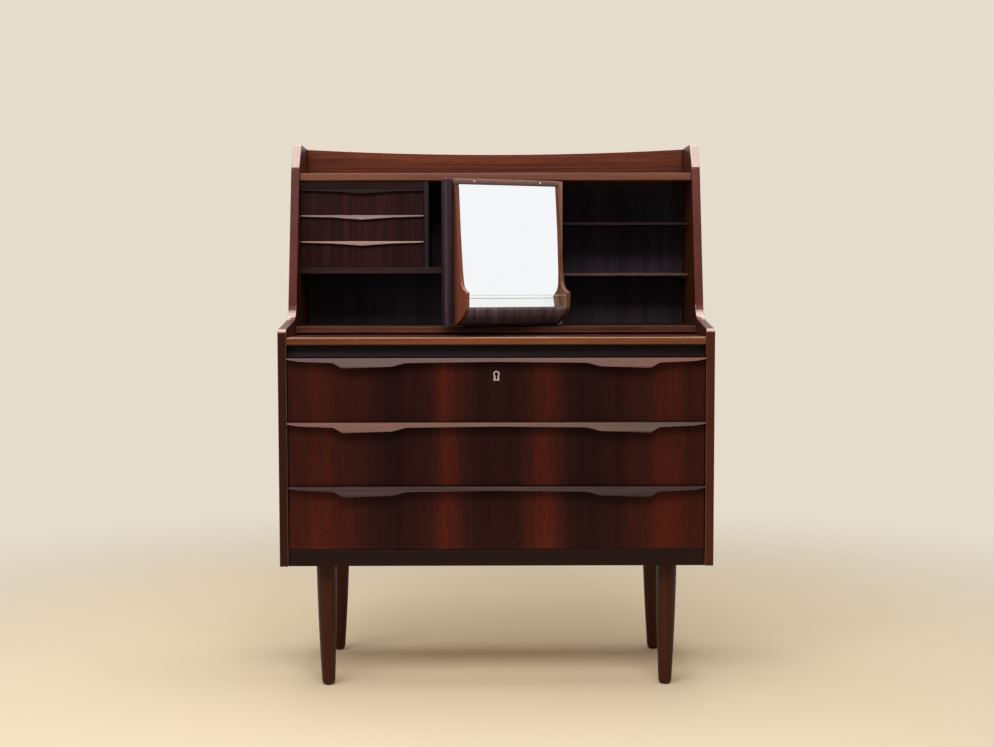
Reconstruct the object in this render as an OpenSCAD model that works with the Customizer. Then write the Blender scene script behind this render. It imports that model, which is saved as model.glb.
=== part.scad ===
// Secretaire: a writing chest with three wide drawers, a pull-out writing leaf and a hutch
// that holds a nest of small drawers, open bays and a swing-out mirror unit.
// Millimetres. X runs to the right, Y to the back and Z up; the front faces -Y.
// The origin is on the floor, under the middle of the whole piece.

/* [Case] */
// Overall width over the side panels
case_w = 910; // [820:5:1000]
// Depth of the side panels, front to back
case_d = 410; // [400:5:460]
// Thickness of the side panels
side_t = 18; // [15:0.5:22]
// Height of the underside of the case above the floor
case_z = 266; // [220:1:320]
// Height of the rail under the lowest drawer
front_rail_h = 34; // [30:1:45]
// Thickness of the rail under the lowest drawer
front_rail_t = 18; // [14:1:24]
// Thickness of the bottom board
bottom_t = 16; // [12:1:18]
// Height of the bottom board's underside above the case's underside
bottom_lift = 10; // [6:1:12]
// Height of the cross rail between leaf and top drawer
cross_rail_h = 23.6; // [20:0.2:30]
// Width of the cross rail, front to back
cross_rail_w = 40; // [38:1:60]
// Set-back of the cross rail from the front of the case
cross_rail_back = 17; // [12:1:20]
// Thickness of the back panels
back_t = 5; // [3:0.5:8]
// Set-back of the back panels from the rear of the case
back_inset = 5; // [2:0.5:8]

/* [Side panel outline] */
// Height of the shoulder's front nose above the leaf
nose_rise = 15.7; // [12:0.1:20]
// Radius of the shoulder's front nose
nose_r = 9; // [4:0.5:12]
// Slope of the shoulder, in degrees
shoulder_slope = 7; // [3:0.5:10]
// Depth at which shoulder line and wing line would meet
wing_foot_y = 160; // [150:1:170]
// Radius of the sweep from the shoulder into the wing
sweep_r = 45; // [30:1:60]
// Backward lean of the wing's front edge, in degrees
wing_lean = 12.5; // [8:0.5:14]
// Height of the sloped part at the top of the wing
crown_h = 55; // [40:1:65]
// Slope of that part from the vertical, in degrees
crown_slope = 36; // [25:1:45]
// Radius of the corners at the top of the wing
crown_r = 9; // [4:1:14]

/* [Leaf and hutch] */
// Thickness of the writing leaf
leaf_t = 18; // [14:0.5:20]
// Gap between the leaf's rear edge and the back panel
leaf_back_gap = 25; // [10:1:50]
// Gap beside the leaf, on each side
leaf_side_gap = 1; // [0.5:0.1:2]
// Gap between the leaf and what it slides on
leaf_seat_gap = 0.3; // [0.2:0.1:0.8]
// Gap between the leaf and the hutch above it
leaf_top_gap = 2.2; // [1.5:0.1:4]
// Radius of the leaf's front edges
leaf_edge_r = 4; // [2:0.5:6]
// Distance of the stop batten from the leaf's rear edge
leaf_stop_inset = 21.7; // [5:0.1:60]
// Height of the batten that stops the leaf
leaf_stop_h = 12; // [8:1:16]
// Width of the batten that stops the leaf
leaf_stop_w = 16; // [10:1:24]
// Width of the side battens under the leaf
leaf_runner_w = 14; // [10:1:20]
// Height of the side battens under the leaf
leaf_runner_h = 10; // [8:1:12]
// Thickness of the hutch's base board
ledge_t = 16.5; // [14:0.5:20]
// Set-back of the hutch's base board
ledge_y = 158; // [150:1:166]
// Clear height of the hutch
hutch_h = 321.3; // [310:0.1:345]
// Thickness of the top shelf
top_shelf_t = 17.5; // [14:0.5:22]
// Set-back of the top shelf
top_shelf_y = 239; // [232:1:242]
// Radius of the front edges of base board and top shelf
shelf_edge_r = 3; // [1:0.5:6]
// Height of the gallery rail above the top shelf
gallery_h = 66.2; // [60:0.2:75]
// Thickness of the gallery rail
gallery_t = 16; // [12:1:18]
// Distance of the gallery rail from the rear of the case
gallery_inset = 6; // [4:1:16]
// Drop of the gallery rail's upper edge at the middle
gallery_dip = 12; // [6:1:20]
// Thickness of the two partitions
partition_t = 12; // [10:0.5:16]
// Distance from the middle to the inner face of a partition
partition_x = 107; // [100:1:112]
// Set-back of the partitions' front edges
partition_y = 240; // [238:1:246]
// Thickness of the left bay's shelf
mid_shelf_t = 14; // [10:0.5:16]
// Height of the open compartment under that shelf
low_bay_h = 115.5; // [108:0.5:130]
// Set-back of that shelf
mid_shelf_y = 240; // [240:1:245]
// Thickness of the two thin shelves
thin_shelf_t = 6; // [4:0.5:10]
// Set-back of the two thin shelves
thin_shelf_y = 290; // [286:1:300]
// Heights of the two thin shelves' upper faces above the hutch's base
thin_shelf_rise = [116, 230.8];
// Radius of the shelf pins
shelf_pin_r = 2.5; // [2:0.5:4]
// Length of a shelf pin outside the wood
shelf_pin_l = 8; // [6:1:12]

/* [Wide drawers] */
// Height of a drawer front
front_h = 133.1; // [128:0.1:140]
// Thickness of a drawer front
front_t = 18; // [14:1:22]
// Gap round a drawer front
front_gap = 1.5; // [1:0.1:2.5]
// Set-back of the drawer fronts
front_back = 6; // [3:1:10]
// Gap between a drawer box and the back panel
box_back_gap = 31; // [15:1:60]
// Height of a drawer box
box_h = 104; // [90:1:110]
// Wall of a drawer box
box_t = 12; // [10:1:15]
// Thickness of a drawer bottom
box_floor_t = 5; // [4:0.5:8]
// Height of the drawer box above the lower edge of its front
box_lift = 6; // [4:1:10]
// Height of a drawer bottom above the box's lower edge
floor_lift = 8; // [5:1:14]
// Height of a runner
runner_h = 14; // [10:1:20]
// Thickness of a runner
runner_t = 8; // [7:0.5:10]
// Height of a runner above the lower edge of its drawer box
runner_lift = 46; // [35:1:60]
// Gap between a box and the case side
box_side_gap = 1.5; // [1:0.1:2]
// Gap between a groove and its runner
runner_gap = 0.3; // [0.2:0.1:0.6]

/* [Lip pulls] */
// How far a lip stands out in front of the case
lip_proud = 14; // [10:1:18]
// Depth of a lip at the middle of the drawer
lip_mid_h = 7.5; // [6:0.5:10]
// Depth of a lip just inside its finger grip
lip_waist_h = 9.5; // [8:0.5:12]
// Depth of a finger grip at its inner end
grip_inner_h = 17; // [14:0.1:20]
// Depth of a finger grip at its outer end
grip_outer_h = 20.6; // [18:0.1:26]
// Depth of a lip just outside its finger grip
lip_outer_h = 9.3; // [8:0.1:12]
// Distance from the middle to where a grip begins
grip_x0 = 188; // [172:1:197]
// Width of a grip's inner step
grip_step_in = 29; // [20:1:36]
// Distance from the middle to a grip's outer corner
grip_x1 = 319; // [300:1:330]
// Width of a grip's outer step
grip_step_out = 20; // [12:1:30]
// Length of the taper at each end of a lip
lip_end_l = 24; // [15:1:35]
// Depth of a lip at its very end
lip_tip_h = 2.5; // [1:0.5:4]
// Thickness of the flange that joins a lip to its drawer
lip_flange_t = 9; // [6:0.5:10]
// Thickness of the part that hangs in front of a finger grip
lip_skirt_t = 5.5; // [4:0.5:8]
// Backward lean of a lip's front face, from its top to the bottom of a grip
lip_rake = 5.5; // [2:0.5:8]

/* [Small drawers] */
// Height of a small drawer's front
small_h = 57; // [50:0.5:60]
// Gap above and below a small drawer's front
small_gap = 1; // [0.6:0.1:2]
// Thickness of a small drawer's front
small_front_t = 12; // [8:1:15]
// Set-back of the nest
nest_y = 243; // [241:1:250]
// Set-back of the small fronts inside the nest
small_back = 2; // [0:0.5:5]
// Distance from the middle to the nest's open side
nest_x = 150; // [144:1:160]
// Thickness of the nest's side board
nest_side_t = 10; // [8:0.5:14]
// Depth of the nest's top rail
nest_rail_w = 40; // [20:1:60]
// Gap between a small drawer's box and the back panel
small_back_gap = 11; // [5:1:30]
// Height of a small drawer's box
small_box_h = 44; // [36:1:50]
// Wall of a small drawer's box
small_wall_t = 8; // [7:0.5:10]
// Thickness of a small drawer's bottom
small_floor_t = 3; // [2:0.5:5]
// Thickness of a small runner
small_runner_t = 4.5; // [3.5:0.5:6]
// Height of a small runner
small_runner_h = 8; // [6:0.5:10]
// How far a small lip stands out from its front
small_lip_proud = 9; // [6:0.5:12]
// Depth of a small lip at its middle
small_lip_mid = 10; // [8:0.5:13]
// Depth of a small lip at its ends
small_lip_end = 3.5; // [2:0.5:6]

/* [Mirror unit] */
// Width of the mirror unit
unit_w = 276; // [272:0.5:279]
// Distance of the unit's middle from the middle of the case, counted to the right
unit_x = -3.6; // [-5:0.1:-2.6]
// Thickness of its frame, back to front
unit_t = 35; // [32:1:44]
// Gap between the unit and the hutch's base board
unit_low_gap = 1.5; // [1:0.1:3]
// Gap between the unit and the top shelf
unit_top_gap = 4.5; // [2:0.1:6]
// Gap between the unit and the partitions
unit_back_gap = 1.5; // [1:0.1:3]
// Angle at which the unit stands open
unit_open = 22; // [0:1:60]
// Thickness of the front board
unit_board_t = 12; // [9:1:16]
// Width of the grip stile
grip_w = 15; // [14:0.5:16]
// Width of the hinge stile behind the front board
hinge_stile_w = 34; // [28:1:40]
// Radius of the grip stile's outer corners
grip_r = 12; // [6:0.5:14]
// Thickness of the two frame rails
frame_rail_t = 14; // [10:1:18]
// Width over the outer faces of the cheeks
cheek_span = 242; // [238:1:244]
// Thickness of a cheek
cheek_t = 7.5; // [6:0.5:10]
// Depth of a cheek at its upper end
cheek_top_d = 13; // [12:0.5:18]
// Depth of a cheek above the sweep
cheek_mid_d = 41; // [38:0.5:46]
// Height of that place above the unit's lower edge
cheek_mid_rise = 118; // [105:1:130]
// Depth of a cheek at its tip
cheek_tip_d = 79; // [76:0.5:84]
// Height of the tip above the unit's lower edge
cheek_tip_rise = 71.5; // [70:0.5:78]
// Height of a cheek's round lower edge at three quarters of the tip's depth
cheek_belly_rise = 20; // [17:0.5:22]
// Height of the head rail
head_rail_h = 12; // [10:0.5:16]
// Depth of the head rail in front of the board
head_rail_d = 16; // [15:0.5:20]
// Radius of the head rail's two pins
head_pin_r = 2.2; // [1.5:0.1:3]
// Half of the distance between the two pins
head_pin_x = 77; // [60:1:100]
// Distance of the pins' middle from the unit's middle, counted to the right
head_pin_shift = -0.5; // [-8:0.5:8]
// Thickness of the mirror pane
pane_t = 4; // [3:0.5:5]
// Backward lean of the pane, in degrees
pane_lean = 6.3; // [4:0.1:6.6]
// Thickness of the tray floor
tray_floor_t = 6; // [4:0.5:8]
// Height of the tray floor's upper face above the unit's lower edge
tray_floor_rise = 24; // [18:0.5:26]
// Thickness of the curved tray front
tray_front_t = 5; // [4:0.5:7]
// Height of the wooden tray front above the unit's lower edge
tray_front_rise = 40; // [34:0.5:46]
// Thickness of the glass strip
tray_glass_t = 4; // [3:0.5:5]
// Height of the glass strip above the unit's lower edge
tray_glass_rise = 66.5; // [60:0.5:72]

/* [Mirror hinges] */
// Radius of a hinge knuckle
knuckle_r = 2.8; // [2.5:0.1:3.5]
// Radius of a hinge pin
hinge_pin_r = 1.5; // [1.2:0.1:1.8]
// Radial clearance of the pin in the turning knuckle
hinge_fit = 0.05; // [0.02:0.01:0.08]
// Thickness of a hinge leaf
hinge_leaf_t = 1.2; // [1:0.1:1.5]
// Width of a hinge leaf
hinge_leaf_w = 24; // [16:1:28]
// Height of a hinge
hinge_h = 60; // [40:1:80]
// Distance from each end of the unit to a hinge
hinge_end = 40; // [25:1:60]
// Gap between knuckles and what is beside them
hinge_gap = 0.3; // [0.2:0.05:0.5]

/* [Lock] */
// Height of the keyhole below the top of its drawer
key_drop = 34; // [30:0.5:45]
// Radius of the keyhole's round part
key_r = 3.8; // [2.8:0.1:4]
// Width of the keyhole's slot
key_slot_w = 3.6; // [2:0.1:3.8]
// Depth of the keyhole's slot below its round part
key_slot_l = 11.4; // [6:0.2:12]
// Radius of the escutcheon's head
plate_r = 6.8; // [6:0.1:8]
// Height of the escutcheon
plate_h = 20.5; // [20:0.5:26]
// Width of the escutcheon's foot
plate_foot_w = 13.2; // [11:0.1:16]
// Width of the escutcheon's waist
plate_waist_w = 10.6; // [8:0.1:11]
// Thickness of the escutcheon
plate_t = 1; // [0.6:0.1:1.5]
// Width of the lock case
lock_w = 46; // [36:1:60]
// Height of the lock case
lock_h = 56; // [52:1:64]
// Thickness of the lock case
lock_t = 11; // [10:0.5:14]
// Width of the bolt
bolt_w = 16; // [10:1:22]
// Thickness of the bolt
bolt_t = 5; // [4:0.5:6]
// Travel of the bolt
bolt_travel = 8; // [5:0.5:9]
// Running clearance round the bolt
bolt_gap = 0.4; // [0.2:0.1:0.8]

/* [Legs] */
// Radius of a leg at its upper end
leg_top_r = 21; // [18:0.5:24]
// Radius of a leg where its rounded foot begins
leg_low_r = 13.6; // [10:0.2:16]
// Radius of a leg's flat end
leg_end_r = 8.5; // [6:0.5:9.5]
// Height of the rounded foot
leg_foot_h = 15; // [8:1:20]
// Power of the curve from foot to top
leg_curve = 1.8; // [1:0.1:2.5]
// Distance from the side of the case to the middle of a leg's upper end
leg_inset = 91; // [70:1:120]
// Set-back of the front legs
leg_front_y = 58; // [50:1:80]
// Distance of the rear legs from the rear of the case
leg_rear_inset = 59; // [50:1:90]
// Inward lean of the front legs, in degrees
leg_lean_front = 0.6; // [-2:0.1:2]
// Inward lean of the rear legs, in degrees
leg_lean_rear = -1.2; // [-2:0.1:2]
// Width of a square leg plate
leg_plate_w = 56; // [46:1:70]
// Thickness of a leg plate
leg_plate_t = 3; // [2:0.5:4]
// Radius of a leg's stud
stud_r = 4; // [3:0.5:5]
// Length of a leg's stud
stud_l = 28; // [20:1:40]

/* [Hidden] */
$fn = 48;
EPS = 0.01;
ARC_STEPS = 8;
FIT_GAP = 0.1;
SIDES = [-1, 1];
LEVELS = [0, 1, 2];

ROSEWOOD = [0.26, 0.12, 0.09];
DARK_ROSEWOOD = [0.17, 0.09, 0.08];
WARM_ROSEWOOD = [0.47, 0.26, 0.16];
LIP_WOOD = [0.47, 0.36, 0.33];
INNER_WOOD = [0.62, 0.47, 0.31];
BRIGHT_METAL = [0.78, 0.77, 0.72];
BRASS = [0.70, 0.55, 0.30];
STEEL = [0.55, 0.55, 0.56];
SILVERED = [0.86, 0.90, 0.92];
CLEAR = [0.80, 0.90, 0.88, 0.5];

// Levels, counted from the floor
bottom_z = case_z + bottom_lift;
drawers_z = case_z + front_rail_h + front_gap;
drawer_pitch = front_h + front_gap;
cross_rail_z = drawers_z + len(LEVELS) * drawer_pitch;
leaf_z = cross_rail_z + cross_rail_h + leaf_seat_gap;
leaf_top_z = leaf_z + leaf_t;
ledge_z = leaf_top_z + leaf_top_gap;
hutch_z = ledge_z + ledge_t;
top_shelf_z = hutch_z + hutch_h;
gallery_z = top_shelf_z + top_shelf_t;
crown_z = gallery_z + gallery_h;
mid_shelf_z = hutch_z + low_bay_h;
nest_z = mid_shelf_z + mid_shelf_t;
nest_rail_z = nest_z + len(LEVELS) * (small_h + small_gap) + small_gap;

// Faces across the width and the depth
inner_x = case_w / 2 - side_t;
back_y = case_d - back_inset - back_t;
middle_y = (case_d - lip_proud) / 2;
gallery_y = case_d - gallery_inset - gallery_t;
leaf_d = back_y - leaf_back_gap;
leaf_stop_y = leaf_d - leaf_stop_inset - leaf_stop_w;
partition_out_x = partition_x + partition_t;
nest_inner_x = nest_x + nest_side_t;

// The side panel's outline: front foot, nose, sweep, crown and rear, as depth, height, radius
nose_z = leaf_top_z + nose_rise;
wing_foot_z = nose_z + wing_foot_y * tan(shoulder_slope);
crown_foot_z = crown_z - crown_h;
crown_foot_y = wing_foot_y + (crown_foot_z - wing_foot_z) * tan(wing_lean);
crown_y = crown_foot_y + crown_h * tan(crown_slope);
foot_r = 1.5;
side_outline = [
    [0, case_z, foot_r],
    [0, nose_z, nose_r],
    [wing_foot_y, wing_foot_z, sweep_r],
    [crown_foot_y, crown_foot_z, 2 * crown_r],
    [crown_y, crown_z, crown_r],
    [case_d, crown_z, foot_r],
    [case_d, case_z, foot_r]
];

// Wide drawers
front_half_w = inner_x - front_gap;
box_half_w = inner_x - box_side_gap;
box_y = front_back + front_t;
box_d = back_y - box_back_gap - box_y;
groove_d = runner_t - box_side_gap + runner_gap;
lip_r = 2;
lip_skirt_bottom = grip_outer_h + 1;

// Small drawers
small_x0 = -inner_x;
small_x1 = -nest_inner_x;
small_mid_x = (small_x0 + small_x1) / 2;
small_half_w = (small_x1 - small_x0) / 2 - small_gap;
small_y = nest_y + small_back;
small_box_y = small_y + small_front_t;
small_box_d = back_y - small_back_gap - small_box_y;
small_groove_d = small_runner_t - small_gap + runner_gap;
small_lift = 4;
small_floor_lift = 3;

// Mirror unit, drawn closed and then turned open about its hinge axis
unit_back_y = partition_y - unit_back_gap;
unit_front_y = unit_back_y - unit_t;
unit_z = hutch_z + unit_low_gap;
unit_top_z = top_shelf_z - unit_top_gap;
hinge_x = partition_out_x + hinge_leaf_t + hinge_gap + knuckle_r;
hinge_y = unit_back_y + hinge_gap + knuckle_r;
hinge_unit_x = hinge_x - unit_x;
cheek_top_z = unit_top_z - head_rail_h;
cheek_tip_z = unit_z + cheek_tip_rise;
cheek_inner = cheek_span / 2 - cheek_t;
pane_front_d = head_rail_d - 1;
pane_top_z = cheek_top_z - FIT_GAP;
tray_floor_z = unit_z + tray_floor_rise;
tray_inset = 1.5;
tray_glass_y = unit_front_y - cheek_tip_d + 3 * tray_inset;
pane_half_w = cheek_inner - FIT_GAP;
pane_h = (pane_top_z - tray_floor_z) / cos(pane_lean) - pane_t * tan(pane_lean);

// Lock
key_z = drawers_z + 2 * drawer_pitch + front_h - key_drop;
lock_top_z = drawers_z + 2 * drawer_pitch + front_h - 1;
lock_z = lock_top_z - lock_h;
bolt_y = box_y + (lock_t - bolt_t) / 2;
bolt_h = key_drop - key_r - 4;
strike_t = 1.2;
strike_margin = 8;
pocket_h = bolt_travel + 4;

// Legs
leg_top_z = bottom_z - leg_plate_t;
leg_x = case_w / 2 - leg_inset;
leg_rear_y = case_d - leg_rear_inset;
leg_corners = [
    [-leg_x, leg_front_y, leg_lean_front],
    [leg_x, leg_front_y, leg_lean_front],
    [-leg_x, leg_rear_y, leg_lean_rear],
    [leg_x, leg_rear_y, leg_lean_rear]
];

// A corner b between a and c, rounded with radius r, as points on its arc
function unit(v) = v / norm(v);
function turned(a) = a > 180 ? a - 360 : a < -180 ? a + 360 : a;
function arc_points(m, r, s, turn) =
    [for (i = [0 : ARC_STEPS]) m + r * [cos(s + turn * i / ARC_STEPS), sin(s + turn * i / ARC_STEPS)]];
function corner(a, b, c, r) =
    let (
        u = unit(a - b),
        w = unit(c - b),
        half = acos(u * w) / 2,
        m = b + unit(u + w) * r / sin(half),
        p = b + u * r / tan(half) - m,
        q = b + w * r / tan(half) - m,
        s = atan2(p.y, p.x)
    )
    r == 0 ? [b] : arc_points(m, r, s, turned(atan2(q.y, q.x) - s));
function at(list, i) = let (n = len(list), p = list[(i + n) % n]) [p.x, p.y];
function rounded(list) =
    [for (i = [0 : len(list) - 1]) each corner(at(list, i - 1), at(list, i), at(list, i + 1), list[i].z)];

// Places a piece, drawn from the front of the case, about the origin
module placed() {
    translate([0, -middle_y, 0])
        children();
}

// Extrudes an outline of depth and height along X, or of width and height along Y
module along_x(x0, length) {
    translate([x0, 0, 0])
        rotate([90, 0, 90])
            linear_extrude(length)
                children();
}

module along_y(y0, length) {
    translate([0, y0 + length, 0])
        rotate([90, 0, 0])
            linear_extrude(length)
                children();
}

// A plain board between two corners
module board(low, high) {
    translate(low)
        cube(high - low);
}

// A board across the width with rounded front edges
module nosed_board(half_w, y0, y1, z0, thick, r) {
    along_x(-half_w, 2 * half_w)
        polygon(rounded([[y0, z0, r], [y0, z0 + thick, r], [y1, z0 + thick, 0], [y1, z0, 0]]));
}

// Side panels, both with one outline
module side_panel(side) {
    color(ROSEWOOD)
        placed()
            along_x(side < 0 ? -case_w / 2 : inner_x, side_t)
                polygon(rounded(side_outline));
}

module bottom_board() {
    color(INNER_WOOD)
        placed()
            board([-inner_x, front_back + front_rail_t, bottom_z], [inner_x, back_y, bottom_z + bottom_t]);
}

module bottom_front_rail() {
    color(DARK_ROSEWOOD)
        placed()
            board(
                [-inner_x, front_back, case_z],
                [inner_x, front_back + front_rail_t, case_z + front_rail_h]
            );
}

// The cross rail, with a pocket for the bolt and a seat for its strike plate
module leaf_cross_rail() {
    color(DARK_ROSEWOOD)
        placed()
            difference() {
                board(
                    [-inner_x, cross_rail_back, cross_rail_z],
                    [inner_x, cross_rail_back + cross_rail_w, cross_rail_z + cross_rail_h]
                );
                strike_space(pocket_h, 0);
                strike_outline(strike_t, EPS);
            }
}

module strike_space(depth, extra) {
    board(
        [-bolt_w / 2 - 1, bolt_y - 1, cross_rail_z - extra - EPS],
        [bolt_w / 2 + 1, bolt_y + bolt_t + 1, cross_rail_z + depth]
    );
}

module strike_outline(thick, extra) {
    board(
        [-bolt_w / 2 - strike_margin, bolt_y - 4, cross_rail_z - extra],
        [bolt_w / 2 + strike_margin, bolt_y + bolt_t + 4, cross_rail_z + thick]
    );
}

module strike_plate() {
    color(BRASS)
        placed()
            difference() {
                strike_outline(strike_t, 0);
                strike_space(pocket_h, 1);
            }
}

module hutch_base_board() {
    color(ROSEWOOD)
        placed()
            nosed_board(inner_x, ledge_y, back_y, ledge_z, ledge_t, shelf_edge_r);
}

module top_shelf() {
    color(ROSEWOOD)
        placed()
            nosed_board(
                inner_x, top_shelf_y, gallery_y + gallery_t,
                top_shelf_z, top_shelf_t, shelf_edge_r
            );
}

// The gallery rail's upper edge is one shallow arc between its ends
module gallery_rail() {
    arc_r = (inner_x * inner_x + gallery_dip * gallery_dip) / (2 * gallery_dip);
    color(ROSEWOOD)
        placed()
            difference() {
                board([-inner_x, gallery_y, gallery_z], [inner_x, gallery_y + gallery_t, crown_z]);
                translate([0, gallery_y - 1, crown_z - gallery_dip + arc_r])
                    rotate([-90, 0, 0])
                        cylinder(h = gallery_t + 2, r = arc_r, $fn = 360);
            }
}

module back_panel(z0, z1) {
    color(INNER_WOOD)
        placed()
            board([-inner_x, back_y, z0], [inner_x, back_y + back_t, z1]);
}

module partitions() {
    color(DARK_ROSEWOOD)
        placed()
            for (side = SIDES)
                board(
                    [side < 0 ? -partition_out_x : partition_x, partition_y, hutch_z],
                    [side < 0 ? -partition_x : partition_out_x, back_y, top_shelf_z]
                );
}

module middle_shelf() {
    color(ROSEWOOD)
        placed()
            board([-inner_x, mid_shelf_y, mid_shelf_z], [-partition_out_x, back_y, nest_z]);
}

module nest_side_board() {
    color(ROSEWOOD)
        placed()
            board([-nest_inner_x, nest_y, nest_z], [-nest_x, back_y, top_shelf_z]);
}

module nest_top_rail() {
    color(ROSEWOOD)
        placed()
            board([-inner_x, nest_y, nest_rail_z], [-nest_inner_x, nest_y + nest_rail_w, top_shelf_z]);
}

// Runners of the wide drawers, of the small drawers and of the leaf
function box_z(level) = drawers_z + level * drawer_pitch + box_lift;
function small_z(level) = nest_z + small_gap + level * (small_h + small_gap);
function runner_z(level) = box_z(level) + runner_lift;
function small_runner_z(level) = small_z(level) + small_lift + (small_box_h - small_runner_h) / 2;

module runners() {
    color(INNER_WOOD)
        placed() {
            for (level = LEVELS, side = SIDES) {
                runner_bar(side * inner_x, -side * runner_t, box_y + 4, back_y, runner_z(level), runner_h);
                runner_bar(
                    side < 0 ? small_x0 : small_x1, -side * small_runner_t, small_box_y + 2, back_y,
                    small_runner_z(level), small_runner_h
                );
            }
            for (side = SIDES)
                runner_bar(
                    side * inner_x, -side * leaf_runner_w, cross_rail_back + cross_rail_w, back_y,
                    cross_rail_z + cross_rail_h - leaf_runner_h, leaf_runner_h
                );
        }
}

module runner_bar(x, width, y0, y1, z, height) {
    board([min(x, x + width), y0, z], [max(x, x + width), y1, z + height]);
}

module thin_shelves() {
    color(ROSEWOOD)
        placed()
            for (rise = thin_shelf_rise)
                board(
                    [partition_out_x, thin_shelf_y, hutch_z + rise - thin_shelf_t],
                    [inner_x, back_y, hutch_z + rise]
                );
}

module shelf_pins() {
    inset = 20;
    color(BRASS)
        placed()
            for (rise = thin_shelf_rise, y = [thin_shelf_y + inset, back_y - inset], side = SIDES)
                translate([
                    side < 0 ? partition_out_x : inner_x - shelf_pin_l,
                    y,
                    hutch_z + rise - thin_shelf_t - shelf_pin_r - FIT_GAP
                ])
                    rotate([0, 90, 0])
                        cylinder(h = shelf_pin_l, r = shelf_pin_r);
}

// Legs: turned, tapered along a curve, with a rounded foot that is cut level with the floor
function leg_r(t) = leg_low_r + (leg_top_r - leg_low_r) * (1 - pow(1 - t, leg_curve));
function foot_round(t) = leg_end_r + (leg_r(leg_foot_h / leg_top_z) - leg_end_r) * sqrt(1 - pow(1 - t, 2));
LEG_STEPS = 12;
FOOT_STEPS = 6;

module leg_axis(corner_at) {
    translate([corner_at.x, corner_at.y, leg_top_z])
        rotate([0, sign(corner_at.x) * corner_at.z, 0])
            translate([0, 0, -leg_top_z])
                children();
}

module leg(corner_at) {
    t0 = leg_foot_h / leg_top_z;
    outline = [
        [0, -1],
        [leg_end_r, -1],
        for (i = [0 : FOOT_STEPS]) [foot_round(i / FOOT_STEPS), leg_foot_h * i / FOOT_STEPS],
        for (i = [1 : LEG_STEPS]) let (t = t0 + (1 - t0) * i / LEG_STEPS) [leg_r(t), t * leg_top_z],
        [0, leg_top_z]
    ];
    color(ROSEWOOD)
        placed()
            difference() {
                leg_axis(corner_at)
                    rotate_extrude()
                        polygon(outline);
                leg_axis(corner_at)
                    translate([0, 0, leg_top_z - stud_l - 1])
                        cylinder(h = stud_l + 2, r = stud_r + FIT_GAP);
                board(
                    [corner_at.x - leg_top_r - 20, corner_at.y - leg_top_r, -5],
                    [corner_at.x + leg_top_r + 20, corner_at.y + leg_top_r, 0]
                );
                board(
                    [corner_at.x - leg_top_r - 1, corner_at.y - leg_top_r - 1, leg_top_z],
                    [corner_at.x + leg_top_r + 1, corner_at.y + leg_top_r + 1, leg_top_z + 5]
                );
            }
}

module leg_plates() {
    color(STEEL)
        placed()
            for (c = leg_corners)
                union() {
                    board(
                        [c.x - leg_plate_w / 2, c.y - leg_plate_w / 2, leg_top_z],
                        [c.x + leg_plate_w / 2, c.y + leg_plate_w / 2, bottom_z]
                    );
                    leg_axis(c)
                        translate([0, 0, leg_top_z - stud_l])
                            cylinder(h = stud_l + leg_plate_t / 2, r = stud_r);
                }
}

// The writing leaf, with rounded front edges, and the batten under its rear edge
module writing_leaf() {
    color(WARM_ROSEWOOD)
        placed()
            nosed_board(inner_x - leaf_side_gap, 0, leaf_d, leaf_z, leaf_t, leaf_edge_r);
}

module leaf_stop_batten() {
    half_w = inner_x - leaf_runner_w - 10;
    color(INNER_WOOD)
        placed()
            board(
                [-half_w, leaf_stop_y, leaf_z - leaf_stop_h],
                [half_w, leaf_stop_y + leaf_stop_w, leaf_z]
            );
}

// Wide drawers
module drawer_front(level) {
    z = drawers_z + level * drawer_pitch;
    color(ROSEWOOD)
        placed()
            difference() {
                board([-front_half_w, front_back, z], [front_half_w, front_back + front_t, z + front_h]);
                if (level == max(LEVELS))
                    keyhole(front_back - 1, front_t + 2);
            }
}

module keyhole(y0, length) {
    translate([0, y0, key_z])
        rotate([-90, 0, 0])
            cylinder(h = length, r = key_r);
    board([-key_slot_w / 2, y0, key_z - key_slot_l], [key_slot_w / 2, y0 + length, key_z]);
}

// Half of the lip's lower edge, from the middle to its end, as width, depth, radius
lip_half = [
    [grip_x0, -lip_waist_h, 30],
    [grip_x0 + grip_step_in, -grip_inner_h, 24],
    [grip_x1, -grip_outer_h, 4],
    [grip_x1 + grip_step_out, -lip_outer_h, 16],
    [front_half_w - lip_end_l, -lip_mid_h + 1, 20],
    [front_half_w, -lip_tip_h, 0]
];

function mirrored(list) = [for (i = [len(list) - 1 : -1 : 0]) [-list[i].x, list[i].y, list[i].z]];

module lip_outline() {
    ends = [[front_half_w, 0, 0], [-front_half_w, 0, 0]];
    polygon(rounded(concat([[0, -lip_mid_h, 0]], lip_half, ends, mirrored(lip_half))));
}

// The lip's section, as depth and height: flange at the back, raked skirt in front
module lip_section() {
    polygon(rounded([
        [front_back, 0, 0],
        [front_back, -lip_flange_t, 0],
        [-lip_proud + lip_rake * 0.5 + lip_skirt_t, -lip_flange_t, lip_r],
        [-lip_proud + lip_skirt_t, -lip_skirt_bottom, 0],
        [-lip_proud, -lip_skirt_bottom, 0],
        [-lip_proud, -grip_inner_h, 0],
        [-lip_proud + lip_rake, 0, lip_r]
    ]));
}

module drawer_lip(level) {
    z = drawers_z + level * drawer_pitch + front_h;
    color(LIP_WOOD)
        placed()
            translate([0, 0, z])
                intersection() {
                    along_y(-lip_proud, lip_proud + front_back)
                        lip_outline();
                    along_x(-front_half_w, 2 * front_half_w)
                        lip_section();
                }
}

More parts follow.
